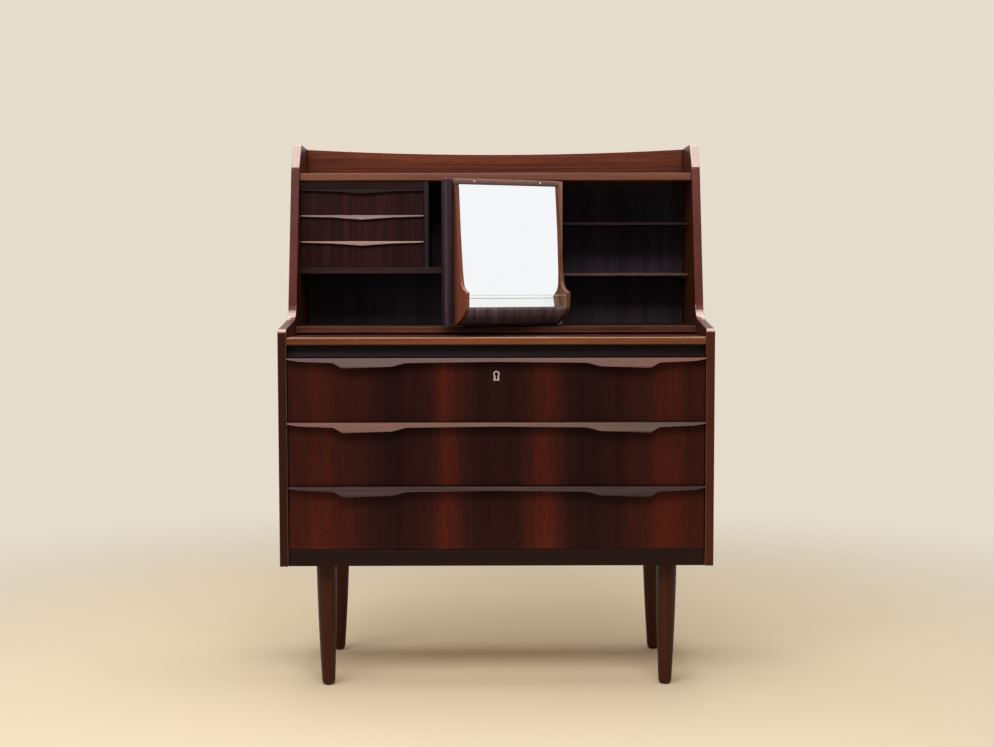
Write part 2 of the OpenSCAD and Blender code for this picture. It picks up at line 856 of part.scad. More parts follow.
// A drawer box of four separate boards: two grooved sides, a back and a bottom
module box_boards(x0, x1, y0, depth, z, height, wall, floor_t, lift, groove, groove_z, groove_h) {
    for (side = SIDES)
        difference() {
            board([side < 0 ? x0 : x1 - wall, y0, z], [side < 0 ? x0 + wall : x1, y0 + depth, z + height]);
            board(
                [side < 0 ? x0 - 1 : x1 - groove, y0 + 2, groove_z],
                [side < 0 ? x0 + groove : x1 + 1, y0 + depth + 1, groove_z + groove_h]
            );
        }
    in0 = x0 + wall + FIT_GAP;
    in1 = x1 - wall - FIT_GAP;
    board([in0, y0 + depth - wall, z + lift + FIT_GAP], [in1, y0 + depth, z + height - 2]);
    board([in0, y0, z + lift - floor_t], [in1, y0 + depth, z + lift]);
}

module drawer_box(level) {
    color(INNER_WOOD)
        placed()
            box_boards(
                -box_half_w, box_half_w, box_y, box_d, box_z(level), box_h,
                box_t, box_floor_t, floor_lift + box_floor_t,
                groove_d, runner_z(level) - 2 * runner_gap, runner_h + 3 * runner_gap
            );
}

// Lock: a hollow case behind the top drawer's front, its bolt, and the escutcheon in front
module lock_case() {
    color(BRASS)
        placed()
            difference() {
                board([-lock_w / 2, box_y, lock_z], [lock_w / 2, box_y + lock_t, lock_top_z]);
                board(
                    [-bolt_w / 2 - bolt_gap, bolt_y - bolt_gap, lock_top_z - bolt_h - bolt_gap],
                    [bolt_w / 2 + bolt_gap, bolt_y + bolt_t + bolt_gap, lock_top_z + 1]
                );
                keyhole(box_y - 1, lock_t - 2);
            }
}

module lock_bolt() {
    color(STEEL)
        placed()
            board([-bolt_w / 2, bolt_y, lock_top_z - bolt_h], [bolt_w / 2, bolt_y + bolt_t, lock_top_z]);
}

module escutcheon() {
    foot_z = key_z + plate_r - plate_h;
    waist_z = key_z - 0.75 * plate_r;
    color(BRIGHT_METAL)
        placed()
            difference() {
                union() {
                    translate([0, front_back - plate_t, key_z])
                        rotate([-90, 0, 0])
                            cylinder(h = plate_t, r = plate_r);
                    along_y(front_back - plate_t, plate_t)
                        polygon(rounded([
                            [-plate_foot_w / 2, foot_z, 1],
                            [plate_foot_w / 2, foot_z, 1],
                            [plate_waist_w / 2, waist_z, 0],
                            [plate_waist_w / 2, key_z, 0],
                            [-plate_waist_w / 2, key_z, 0],
                            [-plate_waist_w / 2, waist_z, 0]
                        ]));
                }
                keyhole(front_back - plate_t - 1, plate_t + 2);
            }
}

// Small drawers of the nest
module small_front(level) {
    z = small_z(level);
    color(ROSEWOOD)
        placed()
            board(
                [small_mid_x - small_half_w, small_y, z],
                [small_mid_x + small_half_w, small_y + small_front_t, z + small_h]
            );
}

module small_lip(level) {
    end_x = small_half_w;
    color(LIP_WOOD)
        placed()
            translate([small_mid_x, 0, small_z(level) + small_h])
                intersection() {
                    along_y(small_y - small_lip_proud, small_lip_proud)
                        polygon(rounded([
                            [end_x, 0, 0],
                            [-end_x, 0, 0],
                            [-end_x, -small_lip_end + 1, 0],
                            [-end_x + 6, -small_lip_end, 6],
                            [-end_x / 2, -small_lip_end - 1.5, 60],
                            [0, -small_lip_mid, 60],
                            [end_x / 2, -small_lip_end - 1.5, 60],
                            [end_x - 6, -small_lip_end, 6],
                            [end_x, -small_lip_end + 1, 0]
                        ]));
                    along_x(-end_x, 2 * end_x)
                        polygon([
                            [small_y, 0],
                            [small_y, -small_lip_end - 2],
                            [small_y - small_lip_proud + 2, -small_lip_mid - 1],
                            [small_y - small_lip_proud, -small_lip_mid - 1],
                            [small_y - small_lip_proud + 2, 0]
                        ]);
                }
}

module small_box(level) {
    z = small_z(level) + small_lift;
    color(INNER_WOOD)
        placed()
            box_boards(
                small_mid_x - small_half_w, small_mid_x + small_half_w, small_box_y, small_box_d,
                z, small_box_h, small_wall_t, small_floor_t, small_floor_lift + small_floor_t,
                small_groove_d, small_runner_z(level) - 2 * runner_gap, small_runner_h + 3 * runner_gap
            );
}

// Mirror unit
module opened() {
    translate([hinge_x, hinge_y - middle_y, 0])
        rotate([0, 0, unit_open])
            translate([-hinge_unit_x, -hinge_y, 0])
                children();
}

module mirror_front_board() {
    color(DARK_ROSEWOOD)
        opened()
            board(
                [-unit_w / 2 + grip_w, unit_front_y, unit_z],
                [unit_w / 2, unit_front_y + unit_board_t, unit_top_z]
            );
}

// The grip stile is rounded along its outer side, so that a hand can pull on it
module mirror_grip_stile() {
    color(ROSEWOOD)
        opened()
            translate([0, 0, unit_z])
                linear_extrude(unit_top_z - unit_z)
                    polygon(rounded([
                        [-unit_w / 2, unit_front_y, grip_r],
                        [-unit_w / 2 + grip_w, unit_front_y, 0],
                        [-unit_w / 2 + grip_w, unit_back_y, 0],
                        [-unit_w / 2, unit_back_y, grip_r]
                    ]));
}

module mirror_hinge_stile() {
    color(ROSEWOOD)
        opened()
            difference() {
                board(
                    [unit_w / 2 - hinge_stile_w, unit_front_y + unit_board_t, unit_z],
                    [unit_w / 2, unit_back_y, unit_top_z]
                );
                for (z = hinge_levels())
                    board(
                        [hinge_unit_x + knuckle_r - hinge_leaf_w, unit_back_y - hinge_leaf_t, z],
                        [hinge_unit_x + knuckle_r, unit_back_y + 1, z + hinge_h]
                    );
            }
}

module mirror_frame_rails() {
    color(DARK_ROSEWOOD)
        opened()
            for (z = [unit_z, unit_top_z - frame_rail_t])
                board(
                    [-unit_w / 2 + grip_w, unit_front_y + unit_board_t, z],
                    [unit_w / 2 - hinge_stile_w, unit_back_y, z + frame_rail_t]
                );
}

// A cheek, as depth in front of the board and height: slim above, swept out to its tip, round below
module cheek_outline() {
    heel_r = 30;
    belly_r = 40;
    front_r = 18;
    hollow_r = 26;
    tip_r = 1.5;
    sweep_r = 60;
    polygon([for (p = rounded([
        [0, unit_z, 0],
        [cheek_tip_d / 4, unit_z + 3, heel_r],
        [cheek_tip_d * 3 / 4, unit_z + cheek_belly_rise, belly_r],
        [cheek_tip_d - 3, unit_z + cheek_tip_rise / 2, front_r],
        [cheek_tip_d, cheek_tip_z, tip_r],
        [cheek_mid_d + 9, cheek_tip_z + 11, hollow_r],
        [cheek_mid_d, unit_z + cheek_mid_rise, sweep_r],
        [cheek_top_d, cheek_top_z, 0],
        [0, cheek_top_z, 0]
    ])) [unit_front_y - p.x, p.y]]);
}

module mirror_cheek(side) {
    x0 = side < 0 ? -cheek_span / 2 : cheek_span / 2 - cheek_t;
    color(ROSEWOOD)
        opened()
            along_x(x0, cheek_t)
                cheek_outline();
}

module mirror_head_rail() {
    color(ROSEWOOD)
        opened()
            difference() {
                board(
                    [-cheek_span / 2, unit_front_y - head_rail_d, unit_top_z - head_rail_h],
                    [cheek_span / 2, unit_front_y, unit_top_z]
                );
                for (side = SIDES)
                    head_pin(side, head_pin_r, 8);
            }
}

module head_pin(side, r, length) {
    translate([
        side * head_pin_x + head_pin_shift,
        unit_front_y - head_rail_d - 1,
        unit_top_z - head_rail_h / 2
    ])
        rotate([-90, 0, 0])
            cylinder(h = length, r = r);
}

module mirror_head_pins() {
    color(BRIGHT_METAL)
        opened()
            for (side = SIDES)
                head_pin(side, head_pin_r - FIT_GAP / 2, 8);
}

// The pane stands on the tray floor and leans back under the head rail
module mirror_pane() {
    color(SILVERED)
        opened()
            translate([-pane_half_w, unit_front_y - pane_front_d, pane_top_z])
                rotate([-pane_lean, 0, 0])
                    translate([0, 0, -pane_h])
                        cube([2 * pane_half_w, pane_t, pane_h]);
}

// The tray floor runs from the front board to the inside of the tray front
module tray_floor() {
    color(DARK_ROSEWOOD)
        opened()
            along_x(-cheek_inner, 2 * cheek_inner)
                intersection() {
                    union() {
                        offset(delta = -tray_inset - tray_front_t)
                            cheek_outline();
                        translate([unit_front_y - cheek_top_d, unit_z])
                            square([cheek_top_d, cheek_tip_rise]);
                    }
                    translate([unit_front_y - cheek_tip_d, tray_floor_z - tray_floor_t])
                        square([cheek_tip_d, tray_floor_t]);
                }
}

// The tray front follows the round lower edge of the cheeks, a little inside it
module tray_front() {
    color(DARK_ROSEWOOD)
        opened()
            along_x(-cheek_inner, 2 * cheek_inner)
                difference() {
                    intersection() {
                        offset(delta = -tray_inset)
                            cheek_outline();
                        translate([unit_front_y - 2 * cheek_tip_d, unit_z])
                            square([2 * cheek_tip_d, tray_front_rise]);
                    }
                    offset(delta = -tray_inset - tray_front_t)
                        cheek_outline();
                    translate([unit_front_y - cheek_top_d, unit_z + tray_front_t])
                        square([cheek_top_d, tray_front_rise]);
                }
}

module tray_glass() {
    color(CLEAR)
        opened()
            board(
                [-cheek_inner + FIT_GAP, tray_glass_y, unit_z + tray_front_rise],
                [cheek_inner - FIT_GAP, tray_glass_y + tray_glass_t, unit_z + tray_glass_rise]
            );
}

// Butt hinges: the case leaves carry the pins and two knuckles each, the door leaves one knuckle
function hinge_levels() = [unit_z + hinge_end, unit_top_z - hinge_end - hinge_h];

module hinge_case_leaves() {
    third = hinge_h / 3;
    color(BRASS)
        placed()
            for (z = hinge_levels())
                union() {
                    board(
                        [partition_out_x, hinge_y + knuckle_r + hinge_gap, z],
                        [partition_out_x + hinge_leaf_t, hinge_y + knuckle_r + hinge_leaf_w, z + hinge_h]
                    );
                    for (z1 = [z, z + 2 * third]) {
                        board(
                            [partition_out_x, hinge_y, z1],
                            [partition_out_x + hinge_leaf_t, hinge_y + knuckle_r + hinge_leaf_t, z1 + third]
                        );
                        board(
                            [partition_out_x, hinge_y, z1],
                            [hinge_x, hinge_y + hinge_leaf_t, z1 + third]
                        );
                        translate([hinge_x, hinge_y, z1])
                            cylinder(h = third, r = knuckle_r);
                    }
                    translate([hinge_x, hinge_y, z])
                        cylinder(h = hinge_h, r = hinge_pin_r);
                }
}

module hinge_door_leaves() {
    third = hinge_h / 3;
    color(BRASS)
        opened()
            for (z = hinge_levels()) {
                board(
                    [hinge_unit_x + knuckle_r - hinge_leaf_w, unit_back_y - hinge_leaf_t, z],
                    [hinge_unit_x + knuckle_r - FIT_GAP, unit_back_y, z + hinge_h]
                );
                difference() {
                    union() {
                        translate([hinge_unit_x, hinge_y, z + third + hinge_gap])
                            cylinder(h = third - 2 * hinge_gap, r = knuckle_r);
                        board(
                            [hinge_unit_x, unit_back_y - hinge_leaf_t / 2, z + third + hinge_gap],
                            [hinge_unit_x + knuckle_r - FIT_GAP, hinge_y, z + 2 * third - hinge_gap]
                        );
                    }
                    translate([hinge_unit_x, hinge_y, z])
                        cylinder(h = hinge_h, r = hinge_pin_r + hinge_fit);
                }
            }
}

side_panel(-1);  // side_panel_left
side_panel(1);  // side_panel_right
bottom_board();
bottom_front_rail();
leaf_cross_rail();
hutch_base_board();
top_shelf();
gallery_rail();
back_panel(bottom_z, ledge_z + ledge_t / 2);  // back_panel_lower
back_panel(ledge_z + ledge_t / 2, top_shelf_z);  // back_panel_upper
partitions();
middle_shelf();
nest_side_board();
nest_top_rail();
runners();
thin_shelves();
shelf_pins();
strike_plate();
hinge_case_leaves();
leg(leg_corners[0]);  // leg_front_left
leg(leg_corners[1]);  // leg_front_right
leg(leg_corners[2]);  // leg_rear_left
leg(leg_corners[3]);  // leg_rear_right
leg_plates();
writing_leaf();
leaf_stop_batten();
drawer_front(0);  // drawer_bottom_front
drawer_front(1);  // drawer_middle_front
drawer_front(2);  // drawer_top_front
drawer_lip(0);  // drawer_bottom_lip
drawer_lip(1);  // drawer_middle_lip
drawer_lip(2);  // drawer_top_lip
drawer_box(0);  // drawer_bottom_box
drawer_box(1);  // drawer_middle_box
drawer_box(2);  // drawer_top_box
lock_case();
lock_bolt();
escutcheon();
small_front(0);  // small_bottom_front
small_front(1);  // small_middle_front
small_front(2);  // small_top_front
small_lip(0);  // small_bottom_lip
small_lip(1);  // small_middle_lip
small_lip(2);  // small_top_lip
small_box(0);  // small_bottom_box
small_box(1);  // small_middle_box
small_box(2);  // small_top_box
hinge_door_leaves();
mirror_front_board();
mirror_grip_stile();
mirror_hinge_stile();
mirror_frame_rails();
mirror_cheek(-1);  // mirror_cheek_left
mirror_cheek(1);  // mirror_cheek_right
mirror_head_rail();
mirror_head_pins();
mirror_pane();
tray_floor();
tray_front();
tray_glass();
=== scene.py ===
"""Secretaire: the looks of a rosewood writing chest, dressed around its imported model.

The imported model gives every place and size. Each visible board is a copy of its solid with eased
edges and its own grain; fittings too small for the solids, such as screws, are added here.
Lengths in the classes below are millimetres and turn into metres where a mesh is made.
"""

import logging
import math
from dataclasses import dataclass
from enum import Enum, IntEnum
from typing import ClassVar

import bmesh
import bpy
from bmesh.types import BMEdge, BMesh, BMVert
from bpy.types import Node, NodeSocket, NodeTree
from mathutils import Matrix, Vector


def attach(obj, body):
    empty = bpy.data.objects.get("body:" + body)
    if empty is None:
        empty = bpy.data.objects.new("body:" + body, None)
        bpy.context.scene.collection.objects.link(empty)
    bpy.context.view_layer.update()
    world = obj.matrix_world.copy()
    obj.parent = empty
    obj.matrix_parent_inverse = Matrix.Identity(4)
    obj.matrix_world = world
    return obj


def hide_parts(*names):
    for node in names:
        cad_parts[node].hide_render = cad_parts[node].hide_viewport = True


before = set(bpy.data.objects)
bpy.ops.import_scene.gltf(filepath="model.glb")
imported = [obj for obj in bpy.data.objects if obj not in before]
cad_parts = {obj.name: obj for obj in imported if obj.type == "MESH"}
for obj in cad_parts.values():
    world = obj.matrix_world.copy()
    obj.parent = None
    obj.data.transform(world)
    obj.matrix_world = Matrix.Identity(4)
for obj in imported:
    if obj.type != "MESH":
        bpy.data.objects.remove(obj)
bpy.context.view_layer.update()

LOG = logging.getLogger("secretaire")
MM = 0.001
# A place, a direction or a shift along X, Y and Z.
Triple = tuple[float, float, float]
# How far the origin is behind the front of the case.
MIDDLE_Y = 198.0
# Heights of the lower ends of the mirror unit's two hinges.
HINGE_LEVELS = (807.4, 982.7)
# Heights of a hinge leaf's screws above its lower end.
HINGE_SCREWS = (8.0, 30.0, 52.0)
# Corners of a mesh that are nearer than this are one corner.
MERGE_MM = 0.01
# Neighbouring faces that turn by less than this are one flat face.
FLAT_DEG = 0.4
# Outer edges that turn by more than this are eased.
EASED_DEG = 28.0
# Edges that turn by more than this are shaded as sharp.
SHARP_DEG = 40.0


def linear(code: str) -> tuple[float, float, float, float]:
    """Turns an sRGB hex colour to linear light.

    Args:
        code: six hex digits, with or without a leading hash.

    Returns:
        The linear red, green, blue and an alpha of one.
    """
    digits = code.lstrip("#")
    values = [int(digits[i : i + 2], 16) / 255 for i in (0, 2, 4)]
    low = [v / 12.92 if v <= 0.04045 else ((v + 0.055) / 1.055) ** 2.4 for v in values]
    return (low[0], low[1], low[2], 1.0)


def add_node(tree: NodeTree, kind: str, inputs: dict | None = None, **settings: object) -> Node:
    """Adds a shader node with its settings, values and links.

    Args:
        tree: the node tree to add to.
        kind: Blender's name of the node type, without the ShaderNode before it.
        inputs: a value, or the socket to link from, for each input name or number.
        settings: node properties; stops fills a colour ramp with (position, hex colour) pairs.

    Returns:
        The new node.
    """
    node = tree.nodes.new(f"ShaderNode{kind}")
    for name, value in settings.items():
        if name == "stops":
            band = node.color_ramp.elements
            while len(band) < len(value):
                band.new(0.5)
            for element, (position, code) in zip(band, value):
                element.position = position
                element.color = linear(code)
        else:
            setattr(node, name, value)
    for key, value in (inputs or {}).items():
        if isinstance(value, NodeSocket):
            tree.links.new(value, node.inputs[key])
        else:
            node.inputs[key].default_value = value
    return node


class Grain(Enum):
    """The way a board's grain runs, with the turn that lays it along the pattern's X."""

    ALONG_X = (0.0, 0.0, 0.0)
    ALONG_Y = (0.0, 0.0, -math.pi / 2)
    ALONG_Z = (0.0, math.pi / 2, 0.0)


@dataclass(frozen=True)
class Finish:
    """What every finish has: a name and a shader tree that ends in one Principled shader."""

    name: str

    def dress(self, tree: NodeTree) -> None:
        """Builds the finish's nodes.

        Args:
            tree: the material's empty node tree.
        """
        raise NotImplementedError

    def material(self) -> bpy.types.Material:
        """Gives the finish's material.

        Returns:
            The material, which is built the first time that it is asked for.
        """
        found = bpy.data.materials.get(self.name)
        if found is None:
            found = bpy.data.materials.new(self.name)
            found.use_nodes = True
            found.node_tree.nodes.clear()
            self.dress(found.node_tree)
        return found


def close_tree(tree: NodeTree, shader: Node) -> None:
    """Links a shader to the material's output.

    Args:
        tree: the material's node tree.
        shader: the node whose first output is the surface.
    """
    add_node(tree, "OutputMaterial", {"Surface": shader.outputs[0]})


@dataclass(frozen=True)
class Rosewood(Finish):
    """Oiled rosewood: red-brown, with near-black bands, black lines and short open pores.

    The bands follow the growth rings, so they are long along the grain and uneven across it. Oil
    leaves a satin surface that is a little duller in the pores. Real pores are about 0.2 mm wide,
    too fine to show at this distance, so they are drawn 1.1 mm wide. Veneer that is bent over a
    curved core keeps its lines, so its pattern hardly changes with depth.
    """

    dark: str = "24120f"
    body: str = "3c1b14"
    warm: str = "55281a"
    grain: Grain = Grain.ALONG_X
    band_mm: float = 26.0
    line_mm: float = 4.0
    pore_mm: float = 1.1
    figure: float = 0.55
    roughness: float = 0.36
    gloss: float = 0.13
    coat: float = 0.0
    spread: float = 0.20
    bent: bool = False
    shift_mm: Triple = (0.0, 0.0, 0.0)
    # How many times as long as wide the bands, lines and pores are.
    BAND_RUN: ClassVar[float] = 32.0
    LINE_RUN: ClassVar[float] = 60.0
    PORE_RUN: ClassVar[float] = 14.0
    PORE_DEPTH_MM: ClassVar[float] = 0.12
    PORE_RELIEF: ClassVar[float] = 0.25
    # The noise's values where a pore begins and where it is fully open.
    PORE_FROM: ClassVar[float] = 0.60
    PORE_FULL: ClassVar[float] = 0.72
    # What the oil takes off the roughness, and what a pore adds to it.
    OILED: ClassVar[float] = 0.05
    UNFILLED: ClassVar[float] = 0.12
    COAT_ROUGHNESS: ClassVar[float] = 0.14
    COAT_IOR: ClassVar[float] = 1.7

    def pattern(self, tree: NodeTree) -> NodeSocket:
        """Lays the pattern along the grain.

        Args:
            tree: the material's node tree.

        Returns:
            The object's own coordinates, in metres, turned so that X runs along the grain.
        """
        place = add_node(tree, "TexCoord")
        turned = add_node(tree, "Mapping", {
            "Vector": place.outputs["Object"],
            "Location": [v * MM for v in self.shift_mm],
            "Rotation": self.grain.value,
        })
        return turned.outputs["Vector"]

    def streaks(
        self, tree: NodeTree, where: NodeSocket, width_mm: float, length_mm: float, **values: float
    ) -> NodeSocket:
        """Adds a noise drawn out along the grain.

        Args:
            tree: the material's node tree.
            where: the pattern coordinates, in metres.
            width_mm: a streak's size across the grain.
            length_mm: a streak's size along the grain.
            values: further inputs of the noise, such as Detail.

        Returns:
            The noise's value, from nought to one.
        """
        across, along = 1 / (width_mm * MM), 1 / (length_mm * MM)
        deep = along if self.bent else across
        scaled = add_node(tree, "VectorMath", {0: where, 1: (along, deep, across)}, operation="MULTIPLY")
        inputs = {"Vector": scaled.outputs[0], "Scale": 1.0}
        inputs.update({key.replace("_", " ").title(): value for key, value in values.items()})
        return add_node(tree, "TexNoise", inputs).outputs["Fac"]

    def tone(self, tree: NodeTree, where: NodeSocket) -> NodeSocket:
        """Mixes the wood's bands and lines.

        Args:
            tree: the material's node tree.
            where: the pattern coordinates, in metres.

        Returns:
            The lightness before the pores, from nought, black, to one, warm.
        """
        band, line = self.band_mm, self.line_mm
        bands = self.streaks(tree, where, band, self.BAND_RUN * band, detail=2.0, roughness=0.55)
        lines = self.streaks(tree, where, line, self.LINE_RUN * line, detail=4.0, roughness=0.6)
        mixed = add_node(tree, "Mix", {"Factor": self.figure, "A": lines, "B": bands}, data_type="FLOAT")
        return mixed.outputs["Result"]

    def dress(self, tree: NodeTree) -> None:
        """Builds bands, lines and pores, and the satin oil over them.

        Args:
            tree: the material's empty node tree.
        """
        where = self.pattern(tree)
        tone = self.tone(tree, where)
        stops = [(0.5 - self.spread, self.dark), (0.5, self.body), (0.5 + self.spread, self.warm)]
        colour = add_node(tree, "ValToRGB", {"Fac": tone}, stops=stops)
        pores = self.streaks(tree, where, self.pore_mm, self.PORE_RUN * self.pore_mm, detail=1.0)
        open_pore = add_node(tree, "MapRange", {
            "Value": pores, "From Min": self.PORE_FROM, "From Max": self.PORE_FULL,
        })
        pored = add_node(tree, "Mix", {
            "Factor": open_pore.outputs[0], "A": colour.outputs[0], "B": linear(self.dark),
        }, data_type="RGBA", blend_type="MIX")
        satin = add_node(tree, "MapRange", {
            "Value": pores, "To Min": self.roughness - self.OILED, "To Max": self.roughness + self.UNFILLED,
        })
        relief = add_node(tree, "Bump", {
            "Height": open_pore.outputs[0],
            "Strength": self.PORE_RELIEF,
            "Distance": self.PORE_DEPTH_MM * MM,
        }, invert=True)
        shader = add_node(tree, "BsdfPrincipled", {
            "Base Color": pored.outputs["Result"],
            "Roughness": satin.outputs[0],
            "Normal": relief.outputs[0],
            "Specular IOR Level": self.gloss,
            "Coat Weight": self.coat,
            "Coat Roughness": self.COAT_ROUGHNESS,
            "Coat IOR": self.COAT_IOR,
        })
        close_tree(tree, shader)


@dataclass(frozen=True)
class MatchedVeneer(Rosewood):
    """Rosewood veneer in two mirrored leaves: flame bands at equal distances from the middle.

    Both leaves come from one flitch, opened like a book, so that the red flames and the black
    heartwood between them repeat to the left and the right, and down all three drawers. The flames
    glow most at the foot, in the lowest drawer.
    """

    dark: str = "180807"
    body: str = "33120d"
    warm: str = "531b0b"
    spread: float = 0.26
    glow: float = 1.12
    glow_from_mm: float = 500.0
    glow_to_mm: float = 370.0
    half_mm: float = 436.0
    # How far the flames sway from a straight line, and the width and length of a sway.
    sway_mm: float = 20.0
    sway_width_mm: float = 60.0
    sway_run_mm: float = 240.0
    # The share of the wood's own bands and lines in the matched pattern.
    own_share: float = 0.5
    # Warmth at each share of the half width, from the middle outwards.
    stops: tuple[tuple[float, float], ...] = (
        (0.00, 0.18), (0.10, 0.16), (0.17, 0.52), (0.235, 0.82), (0.30, 0.52), (0.37, 0.20), (0.47, 0.12),
        (0.58, 0.20), (0.68, 0.44), (0.78, 0.66), (0.86, 0.70), (0.93, 0.52), (1.00, 0.50),
    )

    def tone(self, tree: NodeTree, where: NodeSocket) -> NodeSocket:
        """Lays the wood's own bands and lines over the matched flames.

        Args:
            tree: the material's node tree.
            where: the pattern coordinates, in metres.

        Returns:
            The lightness before the pores.
        """
        place = add_node(tree, "TexCoord")
        sway = self.streaks(tree, where, self.sway_width_mm, self.sway_run_mm, detail=2.0)
        moved = add_node(tree, "MapRange", {
            "Value": sway, "To Min": -self.sway_mm * MM, "To Max": self.sway_mm * MM,
        })
        parts = add_node(tree, "SeparateXYZ", {"Vector": place.outputs["Object"]})
        mirrored = add_node(tree, "Math", {0: parts.outputs["X"]}, operation="ABSOLUTE")
        swayed = add_node(tree, "Math", {0: mirrored.outputs[0], 1: moved.outputs[0]}, operation="ADD")
        share = add_node(tree, "Math", {
            0: swayed.outputs[0], 1: self.half_mm * MM,
        }, operation="DIVIDE", use_clamp=True)
        grey = [(at, f"{round(255 * v ** (1 / 2.2)):02x}" * 3) for at, v in self.stops]
        flames = add_node(tree, "ValToRGB", {"Fac": share.outputs[0]}, stops=grey)
        mixed = add_node(tree, "Mix", {
            "Factor": self.own_share, "A": flames.outputs[0], "B": super().tone(tree, where),
        }, data_type="FLOAT")
        glow = add_node(tree, "MapRange", {
            "Value": parts.outputs["Z"],
            "From Min": self.glow_from_mm * MM,
            "From Max": self.glow_to_mm * MM,
            "To Min": 1.0,
            "To Max": self.glow,
        })
        both = {0: mixed.outputs["Result"], 1: glow.outputs[0]}
        return add_node(tree, "Math", both, operation="MULTIPLY").outputs[0]


@dataclass(frozen=True)
class RunningTone(Rosewood):
    """Rosewood that runs from its dark tone at one place to its warm tone at another, along one axis; on
    several boards this is a painted shade and light that fall across the board.
    """

    axis: str = "X"
    from_mm: float = -100.0
    to_mm: float = 150.0
    # The lightness at both ends, and the share of the wood's own pattern.
    DARK_END: ClassVar[float] = 0.24
    WARM_END: ClassVar[float] = 0.76
    OWN_SHARE: ClassVar[float] = 0.25

    def tone(self, tree: NodeTree, where: NodeSocket) -> NodeSocket:
        """Shifts the wood's own tone from dark to warm along the axis.

        Args:
            tree: the material's node tree.
            where: the pattern coordinates, in metres.

        Returns:
            The lightness before the pores.
        """
        place = add_node(tree, "TexCoord")
        parts = add_node(tree, "SeparateXYZ", {"Vector": place.outputs["Object"]})
        run = add_node(tree, "MapRange", {
            "Value": parts.outputs[self.axis],
            "From Min": self.from_mm * MM,
            "From Max": self.to_mm * MM,
            "To Min": self.DARK_END,
            "To Max": self.WARM_END,
        })
        mixed = add_node(tree, "Mix", {
            "Factor": self.OWN_SHARE, "A": run.outputs[0], "B": super().tone(tree, where),
        }, data_type="FLOAT")
        return mixed.outputs["Result"]


@dataclass(frozen=True)
class PlainWood(Rosewood):
    """Pale cabinet wood, such as beech or birch ply: close even grain and small pores."""

    dark: str = "8a6242"
    body: str = "b98a5c"
    warm: str = "cfa577"
    band_mm: float = 18.0
    line_mm: float = 2.5
    pore_mm: float = 0.8
    roughness: float = 0.55
    gloss: float = 0.30


@dataclass(frozen=True)
class Metal(Finish):
    """Bare metal, polished or brushed, with a faint uneven dulling from handling."""

    colour: str = "c9c3b4"
    dull: str = "a39c8c"
    roughness: float = 0.25
    spot_mm: float = 6.0
    # The noise's values where a dull spot begins and where it is dullest.
    SPOT_FROM: ClassVar[float] = 0.40
    SPOT_FULL: ClassVar[float] = 0.70
    # What handling takes off the roughness, and what a spot adds to it.
    RUBBED: ClassVar[float] = 0.05
    DULLED: ClassVar[float] = 0.10

    def dress(self, tree: NodeTree) -> None:
        """Builds the metal with slow spots of duller surface.

        Args:
            tree: the material's empty node tree.
        """
        place = add_node(tree, "TexCoord")
        spots = add_node(tree, "TexNoise", {
            "Vector": place.outputs["Object"], "Scale": 1 / (self.spot_mm * MM), "Detail": 3.0,
        })
        stops = [(self.SPOT_FROM, self.colour), (self.SPOT_FULL, self.dull)]
        colour = add_node(tree, "ValToRGB", {"Fac": spots.outputs["Fac"]}, stops=stops)
        rough = add_node(tree, "MapRange", {
            "Value": spots.outputs["Fac"],
            "To Min": self.roughness - self.RUBBED,
            "To Max": self.roughness + self.DULLED,
        })
        shader = add_node(tree, "BsdfPrincipled", {
            "Base Color": colour.outputs[0], "Roughness": rough.outputs[0], "Metallic": 1.0,
        })
        close_tree(tree, shader)


@dataclass(frozen=True)
class Silvering(Finish):
    """The silvered face of a mirror: bright, sharp and very slightly cool."""

    colour: str = "f4f6f7"
    # Patches of dust on each metre, and the roughness between them and in them.
    DUST_SCALE: ClassVar[float] = 220.0
    CLEAN: ClassVar[float] = 0.01
    DUSTY: ClassVar[float] = 0.05

    def dress(self, tree: NodeTree) -> None:
        """Builds a mirror with faint dust that only dulls it.

        Args:
            tree: the material's empty node tree.
        """
        place = add_node(tree, "TexCoord")
        dust = add_node(tree, "TexNoise", {
            "Vector": place.outputs["Object"], "Scale": self.DUST_SCALE, "Detail": 4.0,
        })
        rough = add_node(tree, "MapRange", {
            "Value": dust.outputs["Fac"], "From Min": 0.5, "To Min": self.CLEAN, "To Max": self.DUSTY,
        })
        shader = add_node(tree, "BsdfPrincipled", {
            "Base Color": linear(self.colour), "Roughness": rough.outputs[0], "Metallic": 1.0,
        })
        close_tree(tree, shader)


@dataclass(frozen=True)
class FloatGlass(Finish):
    """Clear float glass; its ground edges let less through than its faces."""

    colour: str = "fafdfb"
    clearness: float = 0.94
    through: float = 1.0
    ROUGHNESS: ClassVar[float] = 0.02
    IOR: ClassVar[float] = 1.52

    def dress(self, tree: NodeTree) -> None:
        """Builds the glass; its clearness lets light and sight straight through.

        Args:
            tree: the material's empty node tree.
        """
        shader = add_node(tree, "BsdfPrincipled", {
            "Base Color": linear(self.colour),
            "Roughness": self.ROUGHNESS,
            "IOR": self.IOR,
            "Transmission Weight": self.through,
            "Alpha": 1.0 - self.clearness,
        })
        close_tree(tree, shader)


